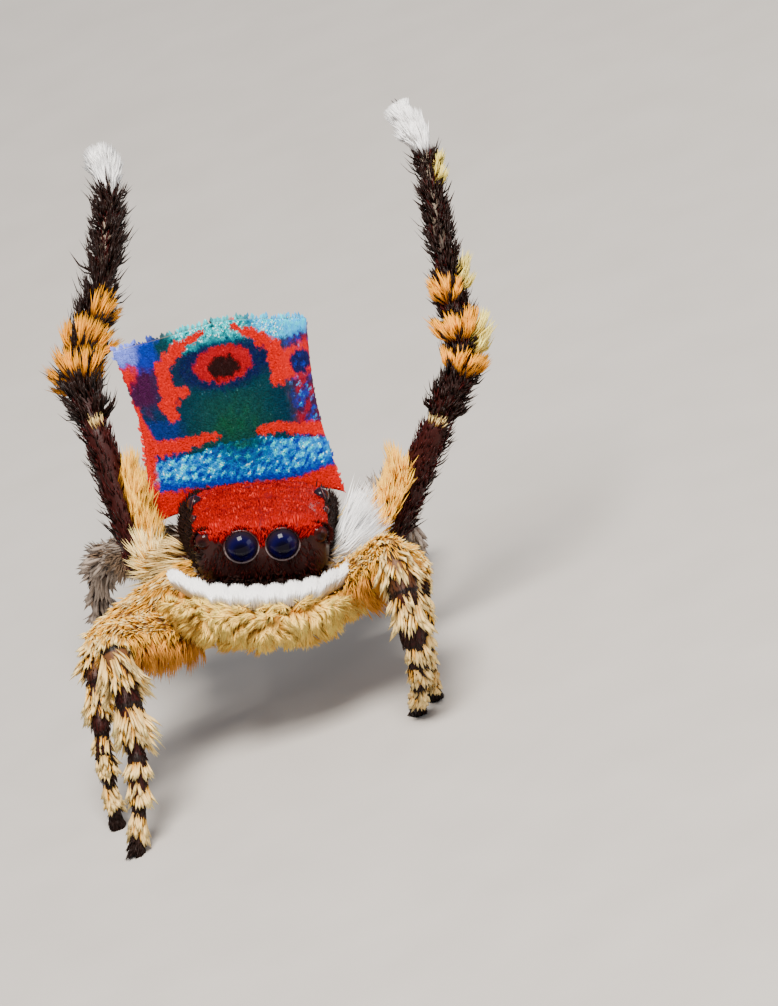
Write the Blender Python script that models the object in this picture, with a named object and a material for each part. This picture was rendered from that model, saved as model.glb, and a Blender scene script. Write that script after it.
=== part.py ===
"""A male peacock spider in display, life size, as a still model for a museum case.

Everything is laid out in millimetres and scaled to metres once, when the objects are made.
The stand frame has its floor at z = 0 and the point midway between the big front eyes on the
z axis. The spider faces -Y, so its own left side is +X. The last step moves all of it so that
the origin is the middle of the bottom of its box.
"""

import itertools
import math
import random

import bmesh
import bpy
from mathutils import Matrix, Quaternion, Vector
from mathutils.bvhtree import BVHTree

MM = 0.001
GAP = 0.03
SEED = 11

# How the animal stands: the height of its eyes, and how its head leans to its left and nods.
EYE_HEIGHT = 2.10
LEAN_DEG = 15.5
NOD_DEG = 5.0
TURN_DEG = -4.0

# The head and thorax, from the face (y = 0) back to the waist.
HEAD_LENGTH = 2.05
HEAD_SIDES = 16
HEAD_STATIONS = (
    # back, half width, top, bottom, squareness
    (0.00, 0.50, 0.14, -0.34, 3.2),
    (0.04, 0.64, 0.20, -0.42, 3.6),
    (0.16, 0.70, 0.24, -0.50, 3.6),
    (0.50, 0.73, 0.25, -0.60, 3.4),
    (0.92, 0.76, 0.23, -0.66, 3.2),
    (1.20, 0.79, 0.17, -0.68, 2.8),
    (1.50, 0.75, 0.02, -0.68, 2.5),
    (1.76, 0.59, -0.18, -0.66, 2.3),
    (1.95, 0.36, -0.36, -0.62, 2.1),
    (HEAD_LENGTH, 0.20, -0.42, -0.58, 2.0),
)

# Eyes: across, back, up, radius, facets round, facets from pole to pole.
EYES = {
    "anterior_median": (0.215, 0.045, 0.00, 0.185, 12, 8),
    "anterior_lateral": (0.595, 0.120, 0.045, 0.110, 8, 5),
    "posterior_median": (0.690, 0.520, 0.110, 0.045, 6, 4),
    "posterior_lateral": (0.668, 0.930, 0.105, 0.088, 8, 5),
}

# Jaws, hanging under the face behind the palps. They close and reach forward on their way down.
JAW_ACROSS = 0.17
JAW_BACK = 0.20
JAW_TOP = -0.61
JAW_LENGTH = 0.42
JAW_RADIUS = 0.145
JAW_SIDES = 10
JAW_CLOSING = 0.10
JAW_FORWARD = 0.04
# Down the jaw as a share, and its thickness there as a share.
JAW_STATIONS = ((0.0, 0.86), (0.18, 1.0), (0.6, 0.98), (0.88, 0.8), (1.0, 0.5))

# Palps, carried in front of the jaws: a smile that ends at the midline.
PALP_POINTS = ((0.34, 0.26, -0.74), (0.78, -0.06, -0.62), (0.56, -0.34, -0.62), (0.16, -0.42, -0.72))
PALP_RADII = (0.10, 0.13, 0.15, 0.12)
PALP_SWELLING = (1.0, 1.15, 1.1)
PALP_START = 0.05
# The white band stands up from the palps and the golden beard hangs from them: where along the palp
# they start, how many locks, their size, and how high the band reaches in the head's frame.
BAND_SHARES = (0.36, 0.95)
BAND_COUNT = 6
BAND_TOP = -0.26
BAND_RISE = 0.10
BAND_WIDTH = 0.19
BAND_FORWARD = 0.02
BAND_DEPTH_SHARE = 0.7
BAND_WAY = (0.35, -0.05, 1.0)
BAND_LIE = (0.10, 0.25, 1.0)
BEARD_SHARES = (0.30, 0.96)
BEARD_COUNT = 7
BEARD_LENGTH = 0.33
BEARD_WIDTH = 0.17
BEARD_FORWARD = (0.1, 0.9)
BEARD_SPLAY = (0.1, 0.9)
BEARD_LIE = (0.20, -0.20, -1.0)

# Every lock: its thickness, how deep its root sits, its width and thickness at the root as shares,
# how its length varies, how far it bends towards the lie of the coat, and how it twists.
LOCK_THICKNESS = 0.07
LOCK_SINK = 0.05
LOCK_ROOT = (0.62, 0.8)
LOCK_LENGTHS = (0.85, 1.15)
LOCK_BEND = (0.25, 0.50)
LOCK_TWIST = 0.35
# How far the locks of a leg stray: along it as a share, round it and off it in degrees.
STRAY_ALONG = 0.03
STRAY_TURN_DEG = 9.0
STRAY_LEAN_DEG = 6.0
LOCK_SHARES = (0.04, 0.92)
LOCK_ROOM = 1.15
SHORTEST_LOCK = 0.14
ROOT_DEPTH_SHARE = 0.92

# Coats of the legs, by leg pair and piece. Each band of locks: from and to as shares of the piece,
# rows, locks in a row, the middle of their side in degrees from the up or front side towards the
# outer side, their spread, length, width, and lean off the limb.
COATS = {
    (1, "femur"): ((0.16, 0.78, 3, 3, 180, 110, 0.48, 0.17, 72), (0.30, 0.60, 1, 2, 0, 60, 0.24, 0.15, 24)),
    (1, "tibia"): ((0.10, 0.84, 4, 4, 0, 270, 0.26, 0.15, 27),),
    (1, "tarsus"): ((0.08, 0.72, 3, 3, 60, 240, 0.22, 0.11, 22),),
    (2, "femur"): ((0.25, 0.75, 2, 3, 180, 130, 0.30, 0.16, 40),),
    (2, "tibia"): ((0.12, 0.82, 3, 4, 0, 270, 0.26, 0.15, 27),),
    (2, "tarsus"): ((0.08, 0.70, 2, 4, 45, 270, 0.22, 0.11, 22),),
    (3, "femur"): (
        (0.03, 0.22, 2, 3, -70, 120, 0.42, 0.16, 62),
        (0.36, 0.72, 3, 2, -90, 70, 0.36, 0.15, 44),
        (0.40, 0.84, 2, 1, 90, 0, 0.26, 0.12, 30),
    ),
    (3, "tibia"): (
        (0.08, 0.28, 2, 3, 0, 240, 0.28, 0.13, 32),
        (0.40, 0.44, 1, 5, 0, 288, 0.34, 0.14, 42),
        (0.60, 0.64, 1, 5, 30, 288, 0.34, 0.14, 42),
        (0.80, 0.84, 1, 4, 0, 270, 0.24, 0.12, 34),
    ),
    (3, "metatarsus"): ((0.06, 0.74, 4, 4, 45, 270, 0.30, 0.10, 34),),
    (3, "tarsus"): ((0.12, 0.16, 1, 4, 45, 270, 0.28, 0.12, 22), (0.58, 0.62, 1, 4, 0, 270, 0.30, 0.12, 18)),
    (4, "femur"): ((0.30, 0.70, 2, 2, 180, 120, 0.28, 0.16, 36),),
    (4, "tibia"): ((0.14, 0.76, 2, 3, 0, 270, 0.28, 0.17, 28),),
    (4, "tarsus"): ((0.10, 0.66, 2, 3, 60, 240, 0.22, 0.11, 22),),
}

# Long pale hair of the cheeks: how far back on the head, how high, and its size.
CHEEK_BACKS = (0.40, 0.75, 1.10, 1.45)
CHEEK_UP = -0.42
CHEEK_LENGTH = 0.34
CHEEK_WIDTH = 0.17
CHEEK_WAY = (1.0, 0.4, 0.25)
CHEEK_LIE = (0.0, 1.0, 0.4)
CHEEK_SINK = 0.02
# Coarse hair on the abdomen's back and sides, lying towards the spinnerets.
RUMP_HEIGHTS = (0.18, 0.42)
RUMP_PER_ROW = 6
RUMP_LENGTH = 0.48
RUMP_WIDTH = 0.22
RUMP_TURNS = (0.12, 0.88)
RUMP_STAGGER = 0.20
RUMP_LEAN = 0.55
RUMP_SINK = 0.02

# The raised abdomen, with the fan on its upper face, in a frame of its own:
# across, away from the viewer, and up the fan from the level of its lower corners.
FAN_BACK = 1.66
FAN_RISE = -0.36
FAN_LEAN_DEG = -4.7
FAN_TILT_DEG = 6.0
FAN_TURN_DEG = 9.0
FAN_ASIDE = -0.12
FAN_HEIGHT = 2.16
FAN_SHOULDER = 1.95
# Half width on either side: at the bottom, where it is drawn in, and at the top.
FAN_HALVES = {"left": (1.09, 0.95, 1.03), "right": (1.07, 0.98, 1.16)}
# The upper edge: across, up.
FAN_CREST = ((-1.16, 2.02), (-0.50, 2.10), (0.04, 2.16), (0.50, 2.09), (1.03, 1.94))
FAN_NOTCH = 0.40
FAN_THICKNESS = 0.10
FLAP_ROOT = 0.58
# Columns and rows of the middle plate and of a flap.
PLATE_GRID = (6, 8)
FLAP_GRID = (4, 8)
# How far each flap folds back, at the top of the fan and at its bottom.
FLAP_FOLDS_DEG = {"left": (36.0, 6.0), "right": (6.0, 6.0)}
ABDOMEN_HALF_WIDTH = 0.60
ABDOMEN_DEPTH = 0.92
ABDOMEN_LOW = 0.42
ABDOMEN_HIGH = 2.02
# The bag of the abdomen up its length: height, width and depth as shares of its size.
ABDOMEN_STATIONS = (
    (0.00, 0.30, 0.30),
    (0.05, 0.52, 0.50),
    (0.16, 0.78, 0.74),
    (0.34, 0.96, 0.94),
    (0.58, 1.00, 1.00),
    (0.80, 0.86, 0.84),
    (0.94, 0.66, 0.56),
    (1.00, 0.44, 0.24),
)
ABDOMEN_SIDES = 16
# The waist: its ends in the head's and in the fan's frame, and its radius at either end and between.
WAIST_START = (0.0, HEAD_LENGTH - 0.10, -0.48)
WAIST_END = (0.0, 0.24, ABDOMEN_LOW + 0.12)
WAIST_RADII = (0.10, 0.10, 0.12)
SPINNERET_LENGTH = 0.22
SPINNERET_RADIUS = 0.07
SPINNERET_BACK = 0.87
SPINNERET_UP = 1.68
SPINNERET_WAY = (0.0, 0.90, 0.35)
SPINNERET_CLOSE = 0.70
SPINNERET_TIP = 0.60
# Spinnerets: across and up from the middle of the cluster, size.
SPINNERETS = ((0.0, 0.0, 0.7), (0.06, 0.05, 1.0), (-0.06, 0.05, 1.0), (0.05, -0.06, 0.8), (-0.05, -0.06, 0.8))

# Legs. Hips are on the underside of the head: across, back. The reach is coxa and trochanter.
HIP_DEPTH = -0.60
HIPS = {1: (0.42, 0.52), 2: (0.46, 0.84), 3: (0.46, 1.15), 4: (0.38, 1.48)}
COXA_LENGTH = 0.30
REACH = {1: (0.45, 26.0), 2: (0.45, 12.0), 3: (0.78, 2.0), 4: (0.45, -38.0)}
REACH_DROP = {
    "left": {1: 0.05, 2: 0.05, 3: 0.20, 4: 0.05},
    "right": {1: 0.45, 2: 0.05, 3: 0.20, 4: 0.05},
}
# Lengths of patella, tibia, metatarsus and tarsus.
LOWER_LENGTHS = {
    1: (0.60, 0.66, 0.58, 0.50),
    2: (0.54, 0.60, 0.54, 0.46),
    3: (0.68, 1.12, 1.15, 0.62),
    4: (0.50, 0.66, 0.70, 0.46),
}
# Knees in the stand frame, and feet on its floor.
KNEES = {
    (1, "left"): (1.28, -0.78, 1.86),
    (2, "left"): (1.46, -0.06, 1.40),
    (3, "left"): (2.20, 1.10, 2.34),
    (4, "left"): (1.30, 2.15, 1.15),
    (1, "right"): (-1.81, -0.69, 1.96),
    (2, "right"): (-1.99, 0.12, 1.69),
    (3, "right"): (-1.26, 1.93, 3.31),
    (4, "right"): (-1.55, 2.30, 1.75),
}
FEET = {
    (1, "left"): (0.93, -0.72),
    (2, "left"): (1.16, -0.52),
    (4, "left"): (1.50, 3.30),
    (1, "right"): (-2.31, -1.78),
    (2, "right"): (-2.43, -0.87),
    (4, "right"): (-2.00, 3.30),
}
# Which way the part below the knee bows on its way to the floor.
BOWS = {
    (1, "left"): (0.1, -1.0, 0.1),
    (2, "left"): (-0.1, -1.0, 0.1),
    (4, "left"): (0.2, 0.6, 1.0),
    (1, "right"): (0.7, -0.8, 0.0),
    (2, "right"): (-0.2, -1.0, 0.1),
    (4, "right"): (-0.2, 0.6, 1.0),
}
# Heading and rise of each segment of the two raised legs past the knee, in degrees.
RAISED = {
    "left": ((9, 45), (67, 68), (69, 61), (113, 63)),
    "right": ((92, 37), (52, 33), (63, 37), (86, 36)),
}
LEG_SIDES = 8
# Radius at each joint from hip to foot, and the swelling of the segment that starts there.
LEG_RADII = {
    1: ((0.17, 0.15, 0.155, 0.145, 0.105, 0.080, 0.075), (1.05, 1.20, 1.15, 1.15, 1.10, 1.05)),
    2: ((0.15, 0.13, 0.125, 0.115, 0.090, 0.072, 0.070), (1.05, 1.20, 1.15, 1.15, 1.10, 1.05)),
    3: ((0.17, 0.14, 0.140, 0.130, 0.095, 0.070, 0.060), (1.05, 1.30, 1.18, 1.15, 1.10, 1.30)),
    4: ((0.16, 0.14, 0.145, 0.130, 0.095, 0.070, 0.065), (1.05, 1.20, 1.15, 1.15, 1.10, 1.05)),
}
# A foot: the radius of its flat, the ankle's as a share, the ankle's height, the height below which no
# other ring is kept, and how far the ankle turns down.
FOOT_RADIUS = 0.075
ANKLE_SHARE = 1.1
ANKLE_HEIGHT = 1.6 * FOOT_RADIUS
FOOT_CLEAR = 2.2 * FOOT_RADIUS
FOOT_STEEPEST = 0.4
FOOT_TURN = 0.45
# How far a bend is rounded and in how many steps, and how near the rings of a tube may be.
JOINT_ROUNDING = 0.26
ROUNDING_STEPS = 10
FRAME_STEPS = 24
TANGENT_REACH = 0.03
RING_SPACE = 0.05
SWELL_POWER = 0.7
SHORT_SEGMENT = 0.62
LONG_RINGS = (0.0, 0.26, 0.74)
SHORT_RINGS = (0.0, 0.5)
# Tried in turn until a fused node is closed: how near points are joined, and how faces are split.
WELDS = (0.0005, 0.0001, 0.00001)
TRIANGLE_METHODS = (("BEAUTY", "BEAUTY"), ("SHORT_EDGE", "EAR_CLIP"), ("FIXED", "EAR_CLIP"))

# Colour and roughness by the start of a node's name.
FINISHES = {
    "cephalothorax": ((0.20, 0.03, 0.03), 0.7),
    "eye_anterior": ((0.01, 0.01, 0.02), 0.05),
    "eye_posterior": ((0.02, 0.01, 0.01), 0.08),
    "chelicera": ((0.08, 0.04, 0.03), 0.4),
    "palp": ((0.75, 0.70, 0.60), 0.8),
    "abdomen": ((0.04, 0.25, 0.28), 0.5),
    "fan_flap": ((0.35, 0.04, 0.08), 0.5),
    "spinnerets": ((0.10, 0.08, 0.06), 0.6),
    "leg_3": ((0.25, 0.10, 0.05), 0.6),
    "leg": ((0.60, 0.45, 0.25), 0.7),
}


class Mesh:
    """Points and faces in millimetres, ready to be made an object."""

    def __init__(self, points, faces):
        self.points = [Vector(p) for p in points]
        self.faces = faces

    def moved(self, matrix):
        return Mesh([matrix @ p for p in self.points], self.faces)

    def is_closed(self):
        """Whether every edge is shared by two faces that run along it in opposite ways."""
        edges = [(a, b) for face in self.faces for a, b in zip(face, face[1:] + face[:1])]
        once = set(edges)
        return len(once) == len(edges) and all((b, a) in once for a, b in once)

    def facing_out(self):
        """A copy in triangles that point out."""
        bm = bmesh.new()
        verts = [bm.verts.new(p) for p in self.points]
        for face in self.faces:
            bm.faces.new([verts[i] for i in face])
        bmesh.ops.triangulate(bm, faces=bm.faces)
        bmesh.ops.recalc_face_normals(bm, faces=bm.faces)
        if bm.calc_volume(signed=True) < 0:
            bmesh.ops.reverse_faces(bm, faces=bm.faces)
        bm.verts.index_update()
        faces = [[v.index for v in face.verts] for face in bm.faces]
        bm.free()
        return Mesh(self.points, faces)


def loft(rings):
    """A closed skin over rings of equal count, with a flat face at either end."""
    count = len(rings[0])
    points = [p for ring in rings for p in ring]
    faces = []
    for r in range(len(rings) - 1):
        for i in range(count):
            j = (i + 1) % count
            a, b = r * count, (r + 1) * count
            faces.append([a + i, a + j, b + j, b + i])
    faces.append(list(range(count)))
    last = (len(rings) - 1) * count
    faces.append(list(range(last, last + count)))
    return Mesh(points, faces).facing_out()


def ball(centre, radius, segments, rings):
    """A ball of flat facets, with its poles up and down."""
    centre = Vector(centre)
    points = [centre + Vector((0, 0, radius))]
    for r in range(1, rings):
        polar = math.pi * r / rings
        for s in range(segments):
            turn = 2 * math.pi * s / segments
            out = radius * math.sin(polar)
            points.append(centre + Vector((out * math.cos(turn), out * math.sin(turn), radius * math.cos(polar))))
    points.append(centre - Vector((0, 0, radius)))
    faces = [[0, 1 + s, 1 + (s + 1) % segments] for s in range(segments)]
    for r in range(rings - 2):
        a = 1 + r * segments
        b = a + segments
        for s in range(segments):
            t = (s + 1) % segments
            faces.append([a + s, b + s, b + t, a + t])
    a = 1 + (rings - 2) * segments
    faces += [[a + s, len(points) - 1, a + (s + 1) % segments] for s in range(segments)]
    return Mesh(points, faces).facing_out()


def superellipse(half_width, top, bottom, squareness, sides):
    """A rounded box seen along its length: across and up, for each of its sides."""
    middle = (top + bottom) / 2
    half = (top - bottom) / 2
    ring = []
    for i in range(sides):
        turn = 2 * math.pi * (i + 0.5) / sides
        across = math.copysign(abs(math.cos(turn)) ** (2 / squareness), math.cos(turn))
        up = math.copysign(abs(math.sin(turn)) ** (2 / squareness), math.sin(turn))
        ring.append((half_width * across, middle + half * up))
    return ring


def head_frame():
    """From the head's own frame to the stand frame."""
    lean = Matrix.Rotation(math.radians(LEAN_DEG), 4, "Y")
    nod = Matrix.Rotation(math.radians(NOD_DEG), 4, "X")
    turn = Matrix.Rotation(math.radians(TURN_DEG), 4, "Z")
    return Matrix.Translation((0, 0, EYE_HEIGHT)) @ lean @ nod @ turn


def fan_frame():
    """From the fan's own frame to the stand frame."""
    lean = Matrix.Rotation(math.radians(FAN_LEAN_DEG), 4, "Y")
    tilt = Matrix.Rotation(math.radians(-FAN_TILT_DEG), 4, "X")
    turn = Matrix.Rotation(math.radians(FAN_TURN_DEG), 4, "Z")
    return head_frame() @ Matrix.Translation((FAN_ASIDE, FAN_BACK, FAN_RISE)) @ lean @ tilt @ turn


def side_sign(side):
    return 1 if side == "left" else -1


# Limbs: a tube along a line of joints, which can be read anywhere along its length.


class Limb:
    """A tube through joints, with rounded bends, and a radius that swells between them."""

    def __init__(self, joints, radii, swelling):
        joints = [Vector(p) for p in joints]
        self.stops = [0.0]
        for a, b in zip(joints, joints[1:]):
            self.stops.append(self.stops[-1] + (b - a).length)
        self.joints = joints
        self.radii = radii
        self.swelling = swelling

    @property
    def length(self):
        return self.stops[-1]

    def segment(self, s):
        for i in range(len(self.stops) - 2):
            if s < self.stops[i + 1]:
                return i
        return len(self.stops) - 2

    def straight(self, s):
        """The point at s along the joints, before the bends are rounded."""
        i = self.segment(s)
        share = (s - self.stops[i]) / (self.stops[i + 1] - self.stops[i])
        return self.joints[i].lerp(self.joints[i + 1], share)

    def point(self, s):
        """The point at s, with each bend rounded by averaging along the line."""
        reach = min(JOINT_ROUNDING, s, self.length - s)
        total = Vector()
        for k in range(-ROUNDING_STEPS, ROUNDING_STEPS + 1):
            weight = ROUNDING_STEPS + 1 - abs(k)
            total += self.straight(s + reach * k / ROUNDING_STEPS) * weight
        return total / (ROUNDING_STEPS + 1) ** 2

    def tangent(self, s):
        near = max(0.0, s - TANGENT_REACH)
        far = min(self.length, s + TANGENT_REACH)
        return (self.point(far) - self.point(near)).normalized()

    def radius(self, s):
        """Thin at the joints, and swollen by its own share between them."""
        i = self.segment(s)
        share = (s - self.stops[i]) / (self.stops[i + 1] - self.stops[i])
        plain = self.radii[i] * (1 - share) + self.radii[i + 1] * share
        hump = math.sin(math.pi * min(1.0, max(0.0, share))) ** SWELL_POWER
        return plain * (1 + (self.swelling[i] - 1) * hump)

    def frame(self, s):
        """Tangent, and two directions square to it that don't twist along the limb."""
        along = self.tangent(s)
        start = self.tangent(0)
        first = start.orthogonal().normalized()
        before = start
        for k in range(1, FRAME_STEPS + 1):
            now = self.tangent(s * k / FRAME_STEPS)
            first = before.rotation_difference(now) @ first
            before = now
        return along, first, along.cross(first)

    def ring(self, s, centre=None, along=None, radius=None):
        tangent, first, second = self.frame(s)
        if along is not None:
            turn = tangent.rotation_difference(along)
            first = turn @ first
            second = turn @ second
        centre = self.point(s) if centre is None else centre
        radius = self.radius(s) if radius is None else radius
        ring = []
        for i in range(LEG_SIDES):
            angle = 2 * math.pi * i / LEG_SIDES
            ring.append(centre + (first * math.cos(angle) + second * math.sin(angle)) * radius)
        return ring

    def square_ring(self, s):
        """A ring that, close to a joint, lies square to the limb at that joint, as its partner does."""
        joint = min(self.stops, key=lambda stop: abs(stop - s))
        if abs(joint - s) > GAP:
            return self.ring(s)
        along = self.tangent(joint)
        return self.ring(s, self.point(joint) + along * (s - joint), along)

    def places(self, start, end):
        """Where rings are needed between two places: at the ends, the joints and the swellings."""
        found = [start]
        for a, b in zip(self.stops, self.stops[1:]):
            shares = LONG_RINGS if b - a > SHORT_SEGMENT else SHORT_RINGS
            found += [a + (b - a) * share for share in shares]
        inside = sorted(s for s in found if start + RING_SPACE < s < end - RING_SPACE)
        return [start] + inside + [end]

    def tube(self, start, end, foot=False):
        """The closed tube between two places. A foot ends in a small flat on the floor."""
        rings = [self.square_ring(s) for s in self.places(start, end)]
        if foot:
            sole = self.point(self.length)
            slope = self.tangent(self.length)
            ankle = sole - slope * ANKLE_HEIGHT / max(FOOT_STEEPEST, -slope.z)
            while min(p.z for p in rings[-1]) < FOOT_CLEAR:
                rings.pop()
            down = Vector((0, 0, -1))
            turned = slope.lerp(down, FOOT_TURN).normalized()
            rings.append(self.ring(self.length, ankle, turned, FOOT_RADIUS * ANKLE_SHARE))
            rings.append(self.ring(self.length, sole, down, FOOT_RADIUS))
            for corner in rings[-1]:
                corner.z = 0
        return loft(rings)


def heading_rise(heading, rise):
    heading = math.radians(heading)
    rise = math.radians(rise)
    return Vector((math.cos(rise) * math.cos(heading), math.cos(rise) * math.sin(heading), math.sin(rise)))


def upper_joints(number, side):
    """Hip and trochanter, on the underside of the head."""
    sign = side_sign(side)
    across, back = HIPS[number]
    reach, forward = REACH[number]
    hip = Vector((sign * across, back, HIP_DEPTH))
    forward = math.radians(forward)
    out = Vector((sign * math.cos(forward) * reach, -math.sin(forward) * reach, -REACH_DROP[side][number]))
    frame = head_frame()
    return frame @ hip, frame @ (hip + out)


def standing_joints(number, side):
    """The joints from knee to foot, on a bow that takes up what the leg is longer than the way."""
    knee = Vector(KNEES[number, side])
    foot = Vector((*FEET[number, side], 0))
    lengths = LOWER_LENGTHS[number]
    way = foot - knee
    spare = max(0.0, sum(lengths) / way.length - 1)
    bow = way.length * math.sqrt(3 / 8 * spare)
    aside = Vector(BOWS[number, side])
    aside -= way.normalized() * aside.dot(way.normalized())
    joints = [knee]
    walked = 0.0
    for length in lengths:
        walked += length / sum(lengths)
        joints.append(knee + way * walked + aside.normalized() * bow * 4 * walked * (1 - walked))
    return joints


def raised_joints(side):
    """The joints of a raised third leg, from knee to tip."""
    joints = [Vector(KNEES[3, side])]
    for length, (heading, rise) in zip(LOWER_LENGTHS[3], RAISED[side]):
        joints.append(joints[-1] + heading_rise(heading, rise) * length)
    return joints


def leg(number, side):
    lower = raised_joints(side) if number == 3 else standing_joints(number, side)
    radii, swelling = LEG_RADII[number]
    return Limb([*upper_joints(number, side), *lower], radii, swelling)


def leg_pieces(number, side):
    """Name, start, end and foot of each piece of a leg, parted at its joints."""
    limb = leg(number, side)
    hip, trochanter, knee, patella, tibia, metatarsus, tip = limb.stops
    ends = {"femur": (COXA_LENGTH, knee), "tibia": (knee, tibia)}
    if number == 3:
        ends["metatarsus"] = (tibia, metatarsus)
        ends["tarsus"] = (metatarsus, tip)
    else:
        ends["tarsus"] = (tibia, tip)
    pieces = []
    for name, (start, end) in ends.items():
        foot = end == tip and number != 3
        start += GAP / 2
        end -= 0 if end == tip else GAP / 2
        pieces.append((f"leg_{number}_{side}_{name}", start, end, foot))
    return limb, pieces


# The trunk.


def head_mesh():
    rings = []
    for back, half_width, top, bottom, squareness in HEAD_STATIONS:
        ring = superellipse(half_width, top, bottom, squareness, HEAD_SIDES)
        rings.append([Vector((x, back, z)) for x, z in ring])
    return loft(rings)


def coxa_meshes():
    """The short first segments of the legs, part of the head's underside."""
    meshes = []
    for number in HIPS:
        for side in ("left", "right"):
            limb = leg(number, side)
            meshes.append(loft([limb.ring(s) for s in (0.0, COXA_LENGTH - GAP / 2)]))
    return meshes


def eye_mesh(name, side, extra=0.0):
    across, back, up, radius, segments, rings = EYES[name]
    return ball((side_sign(side) * across, back, up), radius + extra, segments, rings)


def jaw_mesh(side):
    rings = []
    for share, size in JAW_STATIONS:
        across = side_sign(side) * JAW_ACROSS * (1 - JAW_CLOSING * share)
        centre = Vector((across, JAW_BACK - JAW_FORWARD * share, JAW_TOP - JAW_LENGTH * share))
        ring = []
        for i in range(JAW_SIDES):
            turn = 2 * math.pi * i / JAW_SIDES
            ring.append(centre + Vector((math.cos(turn), math.sin(turn), 0)) * JAW_RADIUS * size)
        rings.append(ring)
    return loft(rings)


def palp(side):
    """A palp in the head's frame."""
    sign = side_sign(side)
    points = [(sign * x, y, z) for x, y, z in PALP_POINTS]
    return Limb(points, PALP_RADII, PALP_SWELLING)


# Locks of the coat.


class Lock:
    """A flat tapered lock: it leaves its root one way and bends towards the lie of the coat."""

    def __init__(self, root, direction, lie, length, width, draw):
        self.root = Vector(root)
        self.direction = Vector(direction).normalized()
        self.length = length * draw.uniform(*LOCK_LENGTHS)
        self.width = width
        self.bent = self.direction.lerp(Vector(lie).normalized(), draw.uniform(*LOCK_BEND)).normalized()
        across = self.direction.cross(Vector(lie))
        if across.length < 0.1:
            across = self.direction.orthogonal()
        twist = Quaternion(self.direction, draw.uniform(-LOCK_TWIST, LOCK_TWIST))
        self.across = twist @ across.normalized()

    def mesh(self, extra=0.0):
        """Its solid, or with an extra all round, the room that it needs."""
        middle = self.root + self.direction * self.length * 0.5
        tip = middle + self.bent * (self.length * 0.5 + extra)
        stations = (
            (self.root - self.direction * LOCK_SINK, self.direction, *LOCK_ROOT),
            (middle, self.direction.lerp(self.bent, 0.5), 1.0, 1.0),
        )
        points = []
        for centre, along, width, thickness in stations:
            side = (self.across - along * self.across.dot(along)).normalized()
            face = along.cross(side).normalized() * (LOCK_THICKNESS / 2 * thickness + extra)
            side *= self.width / 2 * width + extra
            points += [centre + side, centre + face, centre - side, centre - face]
        points.append(tip)
        faces = [[0, 1, 2, 3]]
        for i in range(4):
            j = (i + 1) % 4
            faces.append([i, j, 4 + j])
            faces.append([i, 4 + j, 4 + i])
            faces.append([4 + i, 4 + j, 8])
        return Mesh(points, faces).facing_out()

    def moved(self, matrix):
        turn = matrix.to_3x3()
        self.root = matrix @ self.root
        self.direction = turn @ self.direction
        self.bent = turn @ self.bent
        self.across = turn @ self.across
        return self


def spread(count, low, high):
    """Places spread evenly between two values, or the middle one for a single place."""
    if count == 1:
        return [(low + high) / 2]
    return [low + (high - low) * i / (count - 1) for i in range(count)]


def leg_locks(limb, name, start, end, bands, reference):
    """The coat of one piece of a leg, lying towards its tip and no longer than the piece leaves room."""
    draw = random.Random(f"{SEED} {name}")
    outward = Vector((1 if "left" in name else -1, 0, -1 if "leg_3" in name else 0))
    locks = []
    for low, high, rows, per_row, middle, width_deg, length, width, lean in bands:
        for row, share in enumerate(spread(rows, low, high)):
            stagger = (row % 2) * width_deg / (2 * per_row)
            for turn_deg in spread(per_row, middle - width_deg / 2, middle + width_deg / 2):
                strayed = share + draw.uniform(-STRAY_ALONG, STRAY_ALONG)
                s = start + (end - start) * min(LOCK_SHARES[1], max(LOCK_SHARES[0], strayed))
                turn = math.radians(turn_deg + stagger + draw.uniform(-STRAY_TURN_DEG, STRAY_TURN_DEG))
                along = limb.tangent(s)
                front = (reference - along * reference.dot(along)).normalized()
                side = along.cross(front)
                if side.dot(outward) < 0:
                    side = -side
                out = front * math.cos(turn) + side * math.sin(turn)
                rise = math.radians(lean + draw.uniform(-STRAY_LEAN_DEG, STRAY_LEAN_DEG))
                direction = along * math.cos(rise) + out * math.sin(rise)
                room = length if end == limb.length else max(SHORTEST_LOCK, (end - s) * LOCK_ROOM)
                root = limb.point(s) + out * limb.radius(s) * ROOT_DEPTH_SHARE
                locks.append(Lock(root, direction, along, min(length, room), width, draw))
    return locks


def palp_locks(side):
    """The white band that stands up from a palp and the golden beard that hangs from it."""
    draw = random.Random(f"{SEED} palp {side}")
    limb = palp(side)
    sign = side_sign(side)
    widest = PALP_POINTS[1][0]
    locks = []
    for share in spread(BAND_COUNT, *BAND_SHARES):
        s = limb.length * share
        root = limb.point(s) + Vector((0, -BAND_FORWARD, limb.radius(s) * BAND_DEPTH_SHARE))
        outer = abs(root.x) / widest
        tall = BAND_TOP + BAND_RISE * outer - root.z
        way = Vector((sign * BAND_WAY[0] * outer, *BAND_WAY[1:]))
        locks.append(Lock(root, way, (sign * BAND_LIE[0], *BAND_LIE[1:]), tall, BAND_WIDTH, draw))
    for row, forward in enumerate(BEARD_FORWARD):
        for share in spread(BEARD_COUNT - row, *BEARD_SHARES):
            s = limb.length * share
            outer = abs(limb.point(s).x) / widest
            out = Vector((sign * (BEARD_SPLAY[0] + BEARD_SPLAY[1] * outer ** 2), -forward, -1)).normalized()
            root = limb.point(s) + out * limb.radius(s) * ROOT_DEPTH_SHARE
            lie = (sign * BEARD_LIE[0] * outer, *BEARD_LIE[1:])
            locks.append(Lock(root, out, lie, BEARD_LENGTH, BEARD_WIDTH, draw))
    return locks


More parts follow.
